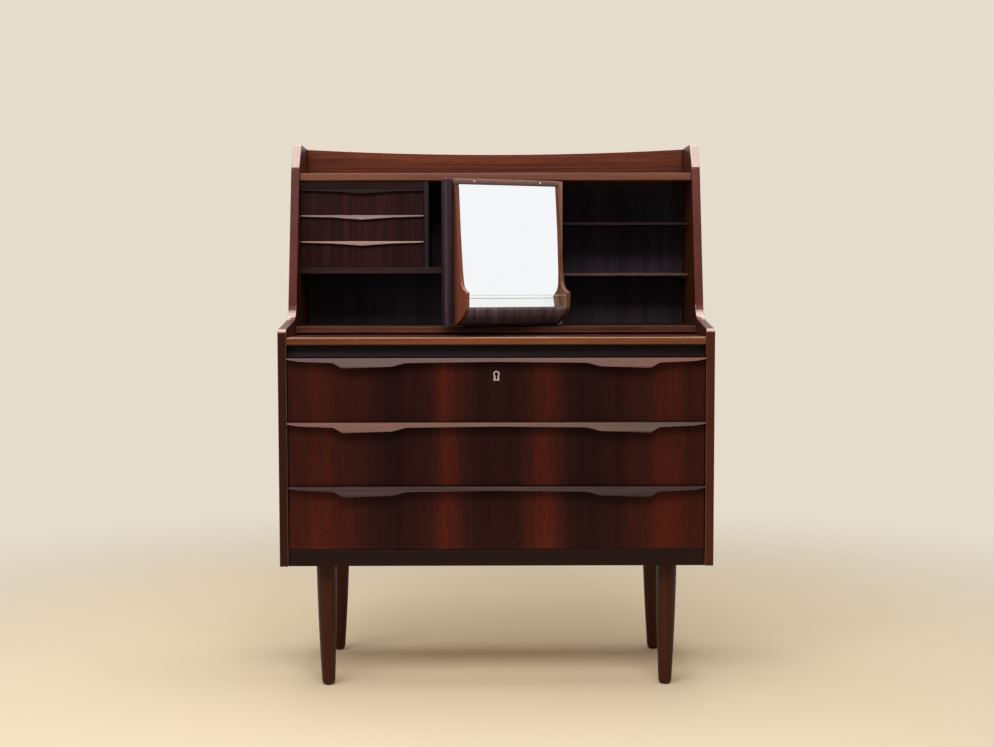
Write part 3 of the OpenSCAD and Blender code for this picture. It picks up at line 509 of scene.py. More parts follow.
class Wood:
    """The chest's wooden finishes, each named for the wood and the board that it is on.

    The three colours are the wood's darkest, commonest and warmest tones; on several boards they also hold
    painted light and shade, as the note above each says.
    """

    # Book-matched veneer, oiled: red flames stand between near-black bands, with a satin sheen.
    FRONTS = MatchedVeneer("rosewood_matched_veneer", grain=Grain.ALONG_Z)
    # Straight sliced veneer, oiled: brown-red with quiet upright lines.
    SIDES = Rosewood(
        "rosewood_side_veneer", "250f0b", "3a1a10", "4f2413", Grain.ALONG_Z, shift_mm=(40, 11, 7)
    )
    # Solid lipping, planed and oiled: a narrow upright strip, darker at the left side.
    SIDE_EDGE = RunningTone(
        "rosewood_side_edge", "2f150e", "3c1c12", "4b2316", Grain.ALONG_Z,
        line_mm=2.0, from_mm=-460.0, to_mm=460.0,
    )
    # The same lipping where it leans back: lighter and redder, a painted light for the extra light that
    # falls on it there.
    WING_EDGE = Rosewood("rosewood_wing_edge", "3b140f", "501d17", "622820", Grain.ALONG_Z, line_mm=2.0)
    # Lipping rounded over by hand: glossy, and paler than the side as a painted highlight where it faces up
    # into the light, so that it shows a bright line.
    SIDE_SLOPE = Rosewood("rosewood_side_slope", "471c17", "622b23", "773a2e", Grain.ALONG_Z, coat=1.0)
    # Turned solid wood, oiled: dark, with lines down the taper.
    LEGS = Rosewood("rosewood_leg", "2a130b", "3b1b0f", "482113", Grain.ALONG_Z)
    # Long sliced veneer, oiled: warm and lively, with lines across the whole chest; its lighter, warmer
    # tone is painted light where the lamps reach the gallery and the top shelf.
    LENGTH = Rosewood("rosewood_gallery", "3a190e", "602e1e", "773d28", spread=0.16, shift_mm=(9, 70, 31))
    # Veneer worn smooth by writing: deep brown with long lines, darkened as a painted shade for the slot
    # under the ledge.
    LEAF = Rosewood("rosewood_writing_leaf", "1e0c07", "32150b", "452010", shift_mm=(70, 20, 5))
    # Solid lipping, sanded and oiled: lighter than the veneer behind it.
    TOP_EDGE = Rosewood("rosewood_top_edge", "62392c", "7b4c3a", "925f49", line_mm=2.0)
    # Veneer of the ledge: nearly black-brown, a painted shade for the hutch above it.
    LEDGE = Rosewood("rosewood_ledge", "160b09", "23110d", "331a12", shift_mm=(30, 10, 50))
    # Its solid lipping, rubbed by hands: brown with close dark lines.
    LEDGE_EDGE = Rosewood("rosewood_ledge_edge", "452116", "6a3829", "844834", line_mm=2.0, spread=0.14)
    # A corner rubbed through the oil, with a painted highlight along it: paler and glossier than the face
    # beside it.
    EDGE = Rosewood("rosewood_rubbed_edge_and_highlight", "33170f", "52291e", "663527", coat=1.0)
    # A corner polished by use, with a painted highlight along it: the palest line on the chest.
    BRIGHT_EDGE = Rosewood("rosewood_polished_edge_and_highlight", "6a4338", "8a5c4e", "a07263", coat=1.0)
    # Veneer inside the hutch, hardly oiled: dull, and greyish violet as a painted cool skylight in the
    # shaded bays.
    INNER = Rosewood("rosewood_inside", "272024", "362d33", "443a41", Grain.ALONG_Z)
    # The same on the nest's side board: a little browner.
    NEST = Rosewood("rosewood_nest_side", "1b1517", "2a2023", "372b2f", Grain.ALONG_Z)
    # Thinly oiled rails and shelves: dark red-brown with a weak sheen.
    SHELF = Rosewood("rosewood_rail", "1a0c0b", "22110f", "2d1714")
    # Set-back rail: nearly black and slightly cool, a painted shade for its recess under the leaf.
    CROSS_RAIL = Rosewood("rosewood_cross_rail", "1c1518", "281e21", "33262a")
    # Sawn and sanded front of a shelf: a thin dull line.
    SHELF_EDGE = Rosewood("rosewood_shelf_edge", "271718", "30201f", "3b2827", line_mm=1.5)
    # Sanded front of the thin shelves: dark on the upper one, warm brown on the lower one; a painted shade
    # from the top shelf falls on the upper one.
    THIN_EDGE = RunningTone(
        "rosewood_thin_shelf_edge", "1f1314", "3c2926", "6b4c46", axis="Z", from_mm=1010.0, to_mm=865.0
    )
    # Narrow-figured veneer, oiled: plum brown with fine upright lines.
    SMALL_FRONTS = Rosewood(
        "rosewood_small_fronts", "1b0a0c", "280f10", "3a1918", Grain.ALONG_Z,
        band_mm=14.0, line_mm=2.5, spread=0.17,
    )
    # Shaped solid pull, sanded silky: greyish at the left, warmer at the right; its pale grey-brown is
    # partly the pull's own wood and partly a painted sheen from the light above.
    LIP_TOP = RunningTone(
        "rosewood_lip_top", "402c2e", "4c2d25", "613625", band_mm=10.0, line_mm=2.5,
        gloss=0.3, from_mm=-440.0, to_mm=440.0,
    )
    # The next length of the same plank: paler, a painted sheen where more light falls on it, and warmer at
    # the left.
    LIP_MIDDLE = RunningTone(
        "rosewood_lip_middle", "3c2b28", "62402f", "673f36", band_mm=10.0, line_mm=2.5,
        gloss=0.3, shift_mm=(200, 0, 0), from_mm=440.0, to_mm=-440.0,
    )
    # The same wood on the lowest pull, darker as a painted shade where less light reaches it: grey-brown
    # with little sheen.
    LIP_LOW = Rosewood(
        "rosewood_lip_low", "241818", "31201f", "46302c", band_mm=10.0, line_mm=2.5,
        gloss=0.15, shift_mm=(90, 0, 0), spread=0.16,
    )
    # Slim solid pull, made pale by a painted sheen where the light from above falls on it.
    SMALL_LIP = Rosewood("rosewood_small_lip", "76564b", "907061", "a08073", band_mm=9.0, gloss=0.3)
    # The same, with less of the painted sheen, as less light reaches it: greyer.
    SMALL_LIP_MIDDLE = Rosewood(
        "rosewood_small_lip_middle", "664f4f", "816865", "927a78", band_mm=9.0, gloss=0.3
    )
    # The same under the top shelf's painted shadow: almost black, without a sheen.
    SMALL_LIP_TOP = Rosewood("rosewood_small_lip_top", "190f10", "211516", "2a1b1b", gloss=0.05)
    # Solid lipping of the leaf, oiled: light brown, the warmest strip of the front.
    LEAF_EDGE = Rosewood("rosewood_leaf_edge", "482616", "69391f", "80492a", spread=0.16)
    # Its rounded corner, smoothed by wrists: the same brown with a soft sheen.
    LEAF_NOSE = Rosewood("rosewood_leaf_nose", "44220f", "643419", "7a4424", coat=0.25)
    # Solid cheek, sawn to shape and sanded: brown with upright lines.
    CHEEK = Rosewood("rosewood_cheek", "4a2619", "683b28", "804f34", Grain.ALONG_Z, band_mm=12.0)
    # The left cheek: brown, with a painted shade on its outer face where it meets the board beside the grip
    # stile.
    SHADED_CHEEK = RunningTone(
        "rosewood_cheek_left", "160a0a", "533024", "7d4330", Grain.ALONG_Z,
        band_mm=12.0, from_mm=-93.0, to_mm=-80.0,
    )
    # Solid stile, planed round and oiled: violet-brown heartwood with a silky sheen.
    GRIP = Rosewood("rosewood_grip", "1f1216", "2b1a21", "39252d", Grain.ALONG_Z, band_mm=9.0, gloss=0.3)
    # Board round the mirror: near black beside the grip stile, a painted shade, and pale brown at the other
    # side, a painted highlight along its right arris.
    MARGIN = RunningTone(
        "rosewood_mirror_board", "110606", "43241c", "9c6e5c", Grain.ALONG_Z, from_mm=-70.0, to_mm=115.0
    )
    # Rounded solid rail: paler towards its upper edge, a painted highlight where the light catches its
    # rounding.
    HEAD = RunningTone(
        "rosewood_head_rail", "4a2f2a", "70504a", "9c786d", line_mm=1.5, axis="Z",
        from_mm=1070.0, to_mm=1083.0,
    )
    # Veneer bent over the tray's curved front: mauve-grey with upright streaks, a painted bounce light on
    # the underside of wood as dark as the grip stile.
    TRAY = Rosewood(
        "rosewood_tray_front", "66555f", "887179", "a88d90", Grain.ALONG_Z,
        band_mm=15.0, line_mm=4.0, gloss=0.2, spread=0.15, figure=0.6, bent=True,
    )
    # The same veneer behind and on top: as dark as the grip stile.
    TRAY_INSIDE = Rosewood("rosewood_tray_inside", "1f1216", "2b1a21", "39252d", Grain.ALONG_Z, bent=True)
    # Planed solid beech, unlacquered: pale, even and dull.
    BOX = PlainWood("beech_drawer_side", grain=Grain.ALONG_Y)
    # The same beech with its grain across, as the back of a drawer has.
    BOX_BACK = PlainWood("beech_drawer_back")
    # Rotary-cut birch ply: wide, faint, wavy bands.
    PLY = PlainWood("birch_plywood", body="b08a62", warm="c4a078", band_mm=60.0)


class Fitting:
    """Finishes of metal and glass."""

    # Polished nickel plate: bright and neutral, with small sharp glints.
    NICKEL = Metal("nickel_plate")
    # Rolled brass, darkened by age: yellow-brown with duller spots.
    BRASS = Metal("aged_brass", colour="a9854c", dull="7a5d33", roughness=0.34)
    # Zinc-bright steel: grey with a soft sheen.
    STEEL = Metal("bright_steel", colour="9a9a9c", dull="7c7c7e", roughness=0.38)
    # Glass silvered on its back: a sharp image with hardly any tint.
    MIRROR = Silvering("silvered_mirror")
    # Stamped plate, satin nickel: pale, warm and evenly dull.
    ESCUTCHEON = Metal("satin_nickel", colour="cbb9ae", dull="b3a196", roughness=0.55, spot_mm=2.0)
    # Polished float glass: clear, with a thin sharp glint.
    GLASS = FloatGlass("float_glass")
    # Cut and ground edge of the glass: it scatters the light and looks olive-grey.
    GLASS_EDGE = FloatGlass("glass_ground_edge", colour="8d8267", clearness=0.15, through=0.0)


def finished(shape: BMesh, name: str) -> bpy.types.Object:
    """Makes a piece of a shape, smooth but for its sharp corners, and logs its number of faces.

    Args:
        shape: the shape, which is used up.
        name: the new piece's name.

    Returns:
        The piece, in the scene.
    """
    for face in shape.faces:
        face.smooth = True
    mesh = bpy.data.meshes.new(name)
    shape.to_mesh(mesh)
    shape.free()
    mesh.set_sharp_from_angle(angle=math.radians(SHARP_DEG))
    piece = bpy.data.objects.new(name, mesh)
    bpy.context.scene.collection.objects.link(piece)
    LOG.info("%s: %d faces", name, len(mesh.polygons))
    return piece


def eased_copy(node: str, name: str, ease_mm: float, steps: int = 2) -> bpy.types.Object:
    """Copies a solid's mesh, merged, with its outer edges eased.

    Args:
        node: the CAD node to copy.
        name: the new piece's name.
        ease_mm: how far each outer edge is taken back; nought leaves it sharp.
        steps: the number of faces across an eased edge.

    Returns:
        A piece whose eased edges are in the edge's slot and whose other faces are in the main one.
    """
    shape = bmesh.new()
    shape.from_mesh(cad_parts[node].data)
    bmesh.ops.remove_doubles(shape, verts=shape.verts, dist=MERGE_MM * MM)
    flat = math.radians(FLAT_DEG)
    bmesh.ops.dissolve_limit(shape, angle_limit=flat, verts=shape.verts, edges=shape.edges, delimit=set())
    bmesh.ops.recalc_face_normals(shape, faces=shape.faces)
    for face in shape.faces:
        face.material_index = Slot.MAIN
    turn = math.radians(EASED_DEG)
    outer = [e for e in shape.edges if e.is_manifold and e.calc_face_angle_signed() > turn]
    if ease_mm > 0:
        bevelled = bmesh.ops.bevel(
            shape, geom=outer, offset=ease_mm * MM, offset_type="OFFSET", segments=steps, profile=0.5,
            affect="EDGES", clamp_overlap=True, material=-1,
        )
        for face in bevelled["faces"]:
            face.material_index = Slot.EDGE
    piece = finished(shape, name)
    shading = piece.modifiers.new("even_shading", "WEIGHTED_NORMAL")
    shading.keep_sharp = True
    return piece


class Slot(IntEnum):
    """The material slots of a board, in the order of its finishes."""

    MAIN = 0
    EDGE = 1
    FRONT = 2
    LEAN = 3
    UNDER = 4


@dataclass
class Board:
    """One board: a solid's eased copy, with finishes for its faces, eased edges and front.

    A sloped board takes its edge finish wherever it faces up and forward at once; on the side panels
    that is a painted highlight on the up-turned slope. A front that leans back a little can have a
    finish of its own, a painted light on the side panels' wing edges, and so can one that curves away
    downward, a painted bounce light under the tray's front.
    """

    node: str
    finish: Finish
    ease: float = 0.7
    edge: Finish | None = None
    front: Finish | None = None
    steps: int = 2
    sloped: bool = False
    lean: Finish | None = None
    under: Finish | None = None
    # How much of a face's direction is forward where it is upright, leans, or only curves forward.
    UPRIGHT: ClassVar[float] = 0.97
    LEANING: ClassVar[float] = 0.9
    FORWARD: ClassVar[float] = 0.2
    # How much of it is up where a face leans back, and where it slopes.
    BACKWARD: ClassVar[float] = 0.03
    UPWARD: ClassVar[float] = 0.1

    def slot(self, normal: Vector, now: int) -> int:
        """Picks the material slot of a face.

        Args:
            normal: the face's outward direction.
            now: the slot that it has from the eased copy.

        Returns:
            The slot's number.
        """
        forward, up = -normal.y, normal.z
        if self.lean and forward > self.LEANING and up > self.BACKWARD:
            return Slot.LEAN
        if self.under and forward > self.FORWARD and up < self.UPWARD:
            return Slot.UNDER
        if forward > self.UPRIGHT:
            return Slot.FRONT if self.front else now
        if self.sloped and forward > self.FORWARD and up > self.UPWARD:
            return Slot.EDGE
        return now

    def build(self, body: str) -> bpy.types.Object:
        """Builds the board and sets it to ride on a body.

        Args:
            body: the CAD body that the board moves with.

        Returns:
            The new piece, which stands for its CAD node.
        """
        piece = eased_copy(self.node, f"{self.node}_board", self.ease, self.steps)
        for finish in (self.finish, self.edge, self.front, self.lean, self.under):
            piece.data.materials.append((finish or self.finish).material())
        for face in piece.data.polygons:
            face.material_index = self.slot(face.normal, face.material_index)
        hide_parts(self.node)
        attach(piece, body)
        return piece


@dataclass
class Carcass:
    """The case: sides, shelves, rails, backs and what is fixed to them."""

    body: str = "case"
    ease: float = 0.8
    shelf_ease: float = 0.5
    panel_ease: float = 0.4
    brass_ease: float = 0.25
    plate_ease: float = 0.3
    arris: float = 1.4
    back_y: float = 405.0
    panel_rows: tuple[float, ...] = (284.0, 753.5, 762.0)
    panel_columns: tuple[float, ...] = (-390.0, -195.0, 0.0, 195.0, 390.0)
    partition_columns: tuple[float, ...] = (-113.0, 113.0)
    partition_rows: tuple[float, ...] = (830.0, 925.0, 1020.0)
    plate_x: float = 367.0
    plate_y: tuple[float, ...] = (55.0, 354.0)
    plate_z: float = 273.0
    plate_inset: float = 20.5
    leaf_x: float = 120.2
    leaf_y: float = 258.0
    strike_x: float = 12.3
    strike_y: float = 29.5
    strike_z: float = 705.3

    def build(self) -> None:
        """Builds and dresses every fixed board."""
        thin, edge, shelf = self.shelf_ease, Wood.SHELF_EDGE, Wood.SHELF
        boards = [
            Board("top_shelf", Wood.LENGTH, self.arris, Wood.BRIGHT_EDGE, Wood.TOP_EDGE),
            Board("hutch_base_board", Wood.LEDGE, self.arris, Wood.BRIGHT_EDGE, Wood.LEDGE_EDGE),
            Board("gallery_rail", Wood.LENGTH, self.ease, Wood.EDGE),
            Board("bottom_front_rail", shelf, thin),
            Board("leaf_cross_rail", Wood.CROSS_RAIL, thin),
            Board("thin_shelves", shelf, thin, Wood.THIN_EDGE, Wood.THIN_EDGE),
            Board("middle_shelf", shelf, thin, edge, edge),
            Board("nest_top_rail", shelf, thin),
            Board("partitions", Wood.INNER, thin),
            Board("nest_side_board", Wood.NEST, thin),
            Board("back_panel_lower", Wood.PLY, self.panel_ease, front=Wood.INNER),
            Board("back_panel_upper", Wood.PLY, self.panel_ease, front=Wood.INNER),
            Board("bottom_board", Wood.BOX, thin),
            Board("runners", Wood.BOX, thin),
            Board("shelf_pins", Fitting.BRASS, self.brass_ease),
            Board("strike_plate", Fitting.BRASS, self.brass_ease),
            Board("hinge_case_leaves", Fitting.BRASS, self.brass_ease),
            Board("leg_plates", Fitting.STEEL, self.plate_ease),
        ]
        slope, lipping, wing = Wood.SIDE_SLOPE, Wood.SIDE_EDGE, Wood.WING_EDGE
        sides = [
            Board(name, Wood.SIDES, self.ease, slope, lipping, sloped=True, lean=wing)
            for name in ("side_panel_left", "side_panel_right")
        ]
        for board in sides + boards:
            board.build(self.body)
        self.build_screws()

    def build_screws(self) -> None:
        """Builds the screws of the backs, the leg plates, the case hinge leaves and the strike."""
        rows = [(x, self.back_y, z) for z in self.panel_rows for x in self.panel_columns]
        rows += [(x, self.back_y, z) for x in self.partition_columns for z in self.partition_rows]
        Screws("panel_screws", self.body, (0, 1, 0), tuple(rows)).build()
        corners = tuple(
            (side * self.plate_x + dx, y + dy, self.plate_z)
            for side in (-1, 1)
            for y in self.plate_y
            for dx in (-self.plate_inset, self.plate_inset)
            for dy in (-self.plate_inset, self.plate_inset)
        )
        Screws("leg_plate_screws", self.body, (0, 0, -1), corners).build()
        leaves = tuple((self.leaf_x, self.leaf_y, z + dz) for z in HINGE_LEVELS for dz in HINGE_SCREWS)
        Screws("case_hinge_screws", self.body, (1, 0, 0), leaves, ScrewKind.HINGE).build()
        strike = tuple((x, self.strike_y, self.strike_z) for x in (-self.strike_x, self.strike_x))
        Screws("strike_screws", self.body, (0, 0, -1), strike, ScrewKind.STRIKE).build()


class ScrewKind(Enum):
    """Kinds of screw: the metal, and the radius and rise of the head in millimetres."""

    PANEL = ("steel", 3.2, 0.4)
    LOCK = ("steel", 2.4, 0.3)
    HINGE = ("brass", 2.6, 0.3)
    STRIKE = ("brass", 1.9, 0.3)


@dataclass(frozen=True)
class Screws:
    """Slotted screw heads of one kind, let into one flat face.

    A head is a disc with two half-round cheeks on it, so that the slot between them is real.
    """

    name: str
    body: str
    facing: Triple
    spots: tuple[Triple, ...]
    kind: ScrewKind = ScrewKind.PANEL
    groove: float = 0.8
    depth: float = 0.3
    steps: int = 14
    # The share of the rise that is rounded off, and how far each slot is turned, in radians.
    rounding: float = 0.6
    turn_step: float = 2.4
    first_turn: float = 0.3

    def head(self, shape: BMesh, place: Matrix) -> None:
        """Adds one head.

        Args:
            shape: the mesh to add to.
            place: the head's seat, with its own Z out of the face, in metres.
        """
        before = set(shape.verts)
        _, radius, rise = self.kind.value
        start = math.asin(self.groove / 2 / radius)
        sweep = math.pi - 2 * start
        for side in (1, -1):
            turns = [start + sweep * i / self.steps for i in range(self.steps + 1)][::side]
            rim = [
                shape.verts.new((radius * math.cos(a), side * radius * math.sin(a), -self.depth))
                for a in turns
            ]
            pushed = bmesh.ops.extrude_face_region(shape, geom=[shape.faces.new(rim)])["geom"]
            top = [v for v in pushed if isinstance(v, BMVert)]
            bmesh.ops.translate(shape, verts=top, vec=(0, 0, self.depth + rise))
            crown = [e for e in pushed if isinstance(e, BMEdge)]
            bmesh.ops.bevel(
                shape, geom=crown, offset=rise * self.rounding, segments=2, profile=0.5,
                affect="EDGES", material=-1,
            )
        seat = Matrix.Translation((0, 0, -self.depth))
        disc = bmesh.ops.create_circle(
            shape, cap_ends=True, segments=2 * self.steps, radius=radius, matrix=seat
        )
        faces = {f for v in disc["verts"] for f in v.link_faces}
        bmesh.ops.extrude_face_region(shape, geom=list(faces))
        fresh = [v for v in shape.verts if v not in before]
        bmesh.ops.transform(shape, matrix=place @ Matrix.Scale(MM, 4), verts=fresh)

    def build(self) -> bpy.types.Object:
        """Builds all the heads as one piece, each slot turned its own way.

        Returns:
            The new piece.
        """
        metal = self.kind.value[0]
        finish = {"steel": Fitting.STEEL, "brass": Fitting.BRASS}[metal]
        shape = bmesh.new()
        out = Vector(self.facing).normalized()
        upright = out.to_track_quat("Z", "Y").to_matrix().to_4x4()
        for number, spot in enumerate(self.spots):
            at = Vector((spot[0], spot[1] - MIDDLE_Y, spot[2])) * MM
            turned = Matrix.Rotation(self.turn_step * number + self.first_turn, 4, "Z")
            self.head(shape, Matrix.Translation(at) @ upright @ turned)
        bmesh.ops.recalc_face_normals(shape, faces=shape.faces)
        piece = finished(shape, self.name)
        piece.data.materials.append(finish.material())
        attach(piece, self.body)
        return piece


@dataclass
class Legs:
    """Four turned legs."""

    body: str = "case"
    ease: float = 0.4

    def build(self) -> None:
        """Builds and dresses the legs."""
        for place in ("front_left", "front_right", "rear_left", "rear_right"):
            Board(f"leg_{place}", Wood.LEGS, self.ease).build(self.body)


@dataclass
class WritingLeaf:
    """The pull-out writing surface with its paler solid front edge."""

    body: str = "leaf"
    ease: float = 0.6

    def build(self) -> None:
        """Builds the leaf and its batten."""
        nose, lipping = Wood.LEAF_NOSE, Wood.LEAF_EDGE
        Board("writing_leaf", Wood.LEAF, self.ease, nose, lipping, sloped=True).build(self.body)
        Board("leaf_stop_batten", Wood.BOX, self.ease).build(self.body)


@dataclass
class WideDrawers:
    """The three wide drawers with their lip pulls, boxes and the top one's lock."""

    levels: tuple[str, ...] = ("bottom", "middle", "top")
    front_ease: float = 0.7
    lip_ease: float = 1.2
    box_ease: float = 0.6
    lock_ease: float = 0.4
    plate_ease: float = 0.25
    lock_y: float = 35.0
    lock_columns: tuple[float, ...] = (-18.5, 18.5)
    lock_rows: tuple[float, ...] = (652.0, 697.0)

    def build(self) -> None:
        """Builds and dresses the drawers and the lock."""
        lips = (Wood.LIP_LOW, Wood.LIP_MIDDLE, Wood.LIP_TOP)
        for level, lip in zip(self.levels, lips):
            body = f"drawer_{level}"
            Board(f"{body}_front", Wood.FRONTS, self.front_ease).build(body)
            Board(f"{body}_lip", lip, self.lip_ease, Wood.EDGE, steps=3).build(body)
            Board(f"{body}_box", Wood.BOX, self.box_ease, front=Wood.BOX_BACK).build(body)
        Board("lock_case", Fitting.BRASS, self.lock_ease).build("drawer_top")
        corners = tuple((x, self.lock_y, z) for x in self.lock_columns for z in self.lock_rows)
        Screws("lock_screws", "drawer_top", (0, 1, 0), corners, ScrewKind.LOCK).build()
        Board("escutcheon", Fitting.ESCUTCHEON, self.plate_ease).build("drawer_top")
        Board("lock_bolt", Fitting.STEEL, self.lock_ease).build("lock_bolt_body")


@dataclass
class SmallDrawers:
    """The nest's three small drawers."""

    levels: tuple[str, ...] = ("bottom", "middle", "top")
    front_ease: float = 0.5
    lip_ease: float = 0.8

    def build(self) -> None:
        """Builds and dresses the small drawers."""
        lips = (Wood.SMALL_LIP, Wood.SMALL_LIP_MIDDLE, Wood.SMALL_LIP_TOP)
        for level, lip in zip(self.levels, lips):
            body = f"small_drawer_{level}"
            Board(f"small_{level}_front", Wood.SMALL_FRONTS, self.front_ease).build(body)
            Board(f"small_{level}_lip", lip, self.lip_ease).build(body)
            Board(f"small_{level}_box", Wood.BOX, self.front_ease, front=Wood.BOX_BACK).build(body)


@dataclass
class MirrorUnit:
    """The swing-out unit: frame, cheeks, mirror pane and the little tray under it."""

    body: str = "mirror_unit"
    ease: float = 0.8
    board_ease: float = 0.5
    head_ease: float = 1.4
    pin_ease: float = 0.3
    leaf_ease: float = 0.25
    glass_ease: float = 1.0
    hinge: tuple[float, float] = (123.3, 241.6)
    open_deg: float = 22.0
    back_y: float = 238.5
    screw_x: float = 108.6

    def opened(self, x: float, y: float, z: float) -> Triple:
        """Swings a place of the closed unit open to the unit's rest.

        Args:
            x: the closed place, to the right of the chest's middle.
            y: the closed place, behind the front of the case.
            z: the closed place, above the floor.

        Returns:
            The place at rest.
        """
        turn = Matrix.Rotation(math.radians(self.open_deg), 2)
        moved = turn @ Vector((x - self.hinge[0], y - self.hinge[1]))
        return (moved.x + self.hinge[0], moved.y + self.hinge[1], z)

    def build_screws(self) -> None:
        """Builds the screws of the two hinge leaves on the unit's back."""
        turn = math.radians(self.open_deg)
        heights = [level + rise for level in HINGE_LEVELS for rise in HINGE_SCREWS]
        spots = tuple(self.opened(self.screw_x, self.back_y, z) for z in heights)
        facing = (-math.sin(turn), math.cos(turn), 0)
        Screws("door_hinge_screws", self.body, facing, spots, ScrewKind.HINGE).build()

    def build(self) -> None:
        """Builds and dresses the unit."""
        self.build_screws()
        thin, edge = self.board_ease, Wood.EDGE
        for board in (
            Board("mirror_front_board", Wood.MARGIN, thin, edge),
            Board("mirror_frame_rails", Wood.SHELF, thin),
            Board("tray_floor", Wood.SHELF, thin),
            Board("tray_front", Wood.TRAY_INSIDE, thin, edge, under=Wood.TRAY),
            Board("mirror_grip_stile", Wood.GRIP, self.ease),
            Board("mirror_hinge_stile", Wood.SIDES, self.ease),
            Board("mirror_cheek_left", Wood.SHADED_CHEEK, self.ease, edge),
            Board("mirror_cheek_right", Wood.CHEEK, self.ease, edge),
            Board("mirror_head_rail", Wood.HEAD, self.head_ease, Wood.BRIGHT_EDGE),
            Board("mirror_head_pins", Fitting.NICKEL, self.pin_ease),
            Board("hinge_door_leaves", Fitting.BRASS, self.leaf_ease),
            Board("mirror_pane", Fitting.MIRROR, thin, Fitting.GLASS),
            Board("tray_glass", Fitting.GLASS, self.glass_ease, Fitting.GLASS_EDGE),
        ):
            board.build(self.body)


@dataclass(frozen=True)
class Lamp:
    """One soft lamp: where it stands, what it points at, its size and its power.

    A lamp that doesn't show lights the wood but isn't mirrored in it.
    """

    name: str
    place: Triple
    aim: Triple
    size: tuple[float, float]
    watts: float
    shows: bool = True

    def build(self) -> None:
        """Builds the lamp."""
        light = bpy.data.lights.new(self.name, "AREA")
        light.shape = "RECTANGLE"
        light.size, light.size_y = (v * MM for v in self.size)
        light.energy = self.watts
        holder = bpy.data.objects.new(self.name, light)
        bpy.context.scene.collection.objects.link(holder)
        at, to = Vector(self.place) * MM, Vector(self.aim) * MM
        turn = (to - at).to_track_quat("-Z", "Y")
        holder.matrix_world = Matrix.Translation(at) @ turn.to_matrix().to_4x4()
        holder.visible_glossy = self.shows


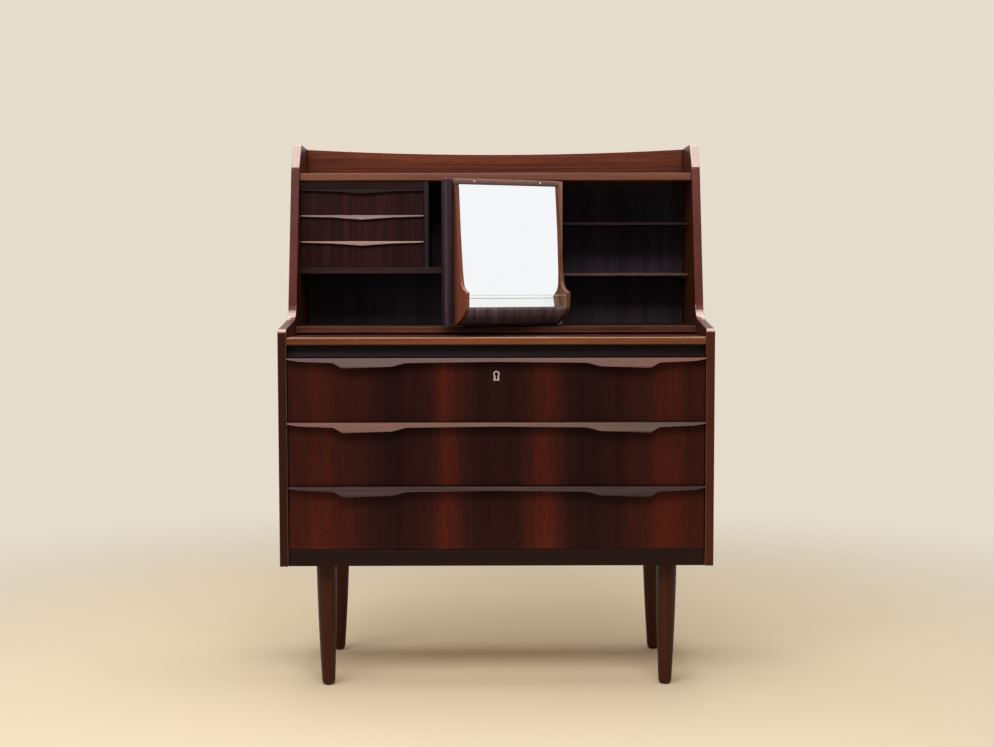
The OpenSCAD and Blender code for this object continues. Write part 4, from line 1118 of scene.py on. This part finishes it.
@dataclass
class Studio:
    """Floor, world, lamps and the camera; none of it is part of the object."""

    floor_radius: float = 9000.0
    fade_from: float = 600.0
    fade_to: float = 2500.0
    floor_colour: str = "e2d0b1"
    field_colour: str = "e6dccd"
    fill: float = 0.34
    fill_colour: tuple[float, float, float, float] = (1.0, 0.985, 0.96, 1.0)
    # Share of forward at which the mirrored field darkens, where it is darkest, and what is left.
    dusk_from: float = 0.76
    dusk_to: float = 0.90
    dusk_left: float = 0.03
    # Share of upward at which the mirrored ceiling begins and where it is full, and its strength.
    ceiling_from: float = 0.45
    ceiling_to: float = 0.75
    ceiling: float = 3.1
    ceiling_colour: str = "fff1d8"
    camera_place: Triple = (-13.04, -3124.94, 854.23)
    camera_pitch: float = 3.574
    camera_yaw: float = 0.277
    camera_roll: float = -0.098
    focal_px: float = 1409.53
    frame_px: int = 994
    sensor: float = 36.0
    clip: tuple[float, float] = (0.05, 60.0)
    lamps: tuple[Lamp, ...] = (
        Lamp("key", (-300, -2450, 3000), (0, 0, 700), (3400, 1100), 82.0),
        Lamp("side", (-2500, -1900, 1500), (0, 0, 700), (1500, 1500), 22.0, shows=False),
        Lamp("top", (0, 200, 3200), (0, 0, 700), (2400, 2000), 46.0),
    )

    def build_floor(self) -> None:
        """Builds a pale floor that fades into the world's colour away from the object."""
        mesh = bpy.data.meshes.new("floor")
        shape = bmesh.new()
        bmesh.ops.create_circle(shape, cap_ends=True, segments=96, radius=self.floor_radius * MM)
        shape.to_mesh(mesh)
        shape.free()
        floor = bpy.data.objects.new("floor", mesh)
        bpy.context.scene.collection.objects.link(floor)
        finish = bpy.data.materials.new("pale_floor")
        finish.use_nodes = True
        tree = finish.node_tree
        tree.nodes.clear()
        place = add_node(tree, "TexCoord")
        away = add_node(tree, "VectorMath", {0: place.outputs["Object"]}, operation="LENGTH")
        fade = add_node(tree, "MapRange", {
            "Value": away.outputs["Value"], "From Min": self.fade_from * MM, "From Max": self.fade_to * MM,
        }, interpolation_type="SMOOTHSTEP")
        paint = add_node(tree, "BsdfDiffuse", {"Color": linear(self.floor_colour)})
        clear = add_node(tree, "BsdfTransparent")
        mixed = add_node(
            tree, "MixShader", {"Fac": fade.outputs[0], 1: paint.outputs[0], 2: clear.outputs[0]}
        )
        close_tree(tree, mixed)
        mesh.materials.append(finish)

    def build_world(self) -> None:
        """Builds a pale field for the camera and for glass and metal, and a plain fill light."""
        world = bpy.data.worlds.new("studio")
        bpy.context.scene.world = world
        world.use_nodes = True
        tree = world.node_tree
        tree.nodes.clear()
        rays = add_node(tree, "LightPath")
        place = add_node(tree, "TexCoord")
        parts = add_node(tree, "SeparateXYZ", {"Vector": place.outputs["Generated"]})
        ahead = add_node(tree, "Math", {0: parts.outputs["Y"], 1: -1.0}, operation="MULTIPLY")
        dusk = add_node(tree, "MapRange", {
            "Value": ahead.outputs[0],
            "From Min": self.dusk_from,
            "From Max": self.dusk_to,
            "To Min": 1.0,
            "To Max": self.dusk_left,
        }, interpolation_type="SMOOTHSTEP")
        overhead = add_node(tree, "MapRange", {
            "Value": parts.outputs["Z"],
            "From Min": self.ceiling_from,
            "From Max": self.ceiling_to,
            "To Max": self.ceiling,
        }, interpolation_type="SMOOTHSTEP")
        around = add_node(tree, "Background", {"Color": (1.0, 1.0, 1.0, 1.0), "Strength": dusk.outputs[0]})
        above = add_node(tree, "Background", {
            "Color": linear(self.ceiling_colour), "Strength": overhead.outputs[0],
        })
        glossy = add_node(tree, "AddShader", {0: around.outputs[0], 1: above.outputs[0]})
        fill = add_node(tree, "Background", {"Color": self.fill_colour, "Strength": self.fill})
        seen = add_node(tree, "Background", {"Color": linear(self.field_colour), "Strength": 1.0})
        sharp = add_node(tree, "MixShader", {
            "Fac": rays.outputs["Is Glossy Ray"], 1: fill.outputs[0], 2: glossy.outputs[0],
        })
        straight = add_node(tree, "Math", {
            0: rays.outputs["Is Camera Ray"], 1: rays.outputs["Is Transmission Ray"],
        }, operation="MAXIMUM")
        whole = add_node(tree, "MixShader", {
            "Fac": straight.outputs[0], 1: sharp.outputs[0], 2: seen.outputs[0],
        })
        add_node(tree, "OutputWorld", {"Surface": whole.outputs[0]})

    def build_camera(self) -> None:
        """Builds the camera at the photograph's place, from its fitted turn and focal length."""
        pitch, yaw = math.radians(self.camera_pitch), math.radians(self.camera_yaw)
        roll = math.radians(self.camera_roll)
        ahead = Vector((math.sin(yaw) * math.cos(pitch), math.cos(yaw) * math.cos(pitch), -math.sin(pitch)))
        level = Vector((math.cos(yaw), -math.sin(yaw), 0.0))
        upright = level.cross(ahead)
        right = math.cos(roll) * level + math.sin(roll) * upright
        up = -math.sin(roll) * level + math.cos(roll) * upright
        turn = Matrix((right, up, -ahead)).transposed().to_4x4()
        data = bpy.data.cameras.new("camera")
        data.sensor_fit = "HORIZONTAL"
        data.sensor_width = self.sensor
        data.lens = self.focal_px * data.sensor_width / self.frame_px
        data.clip_start, data.clip_end = self.clip
        camera = bpy.data.objects.new("camera", data)
        bpy.context.scene.collection.objects.link(camera)
        camera.matrix_world = Matrix.Translation(Vector(self.camera_place) * MM) @ turn
        bpy.context.scene.camera = camera

    def build(self) -> None:
        """Builds the whole studio and sets the plain view transform."""
        self.build_floor()
        self.build_world()
        for lamp in self.lamps:
            lamp.build()
        self.build_camera()
        bpy.context.scene.view_settings.view_transform = "Standard"


def main() -> None:
    """Builds the studio and the chest's sub-assemblies in order."""
    logging.basicConfig(level=logging.INFO, format="%(name)s: %(message)s")
    Studio().build()
    for part in (Carcass(), Legs(), WritingLeaf(), WideDrawers(), SmallDrawers(), MirrorUnit()):
        part.build()
        LOG.info("%s is built", type(part).__name__)


if __name__ == "__main__":
    main()
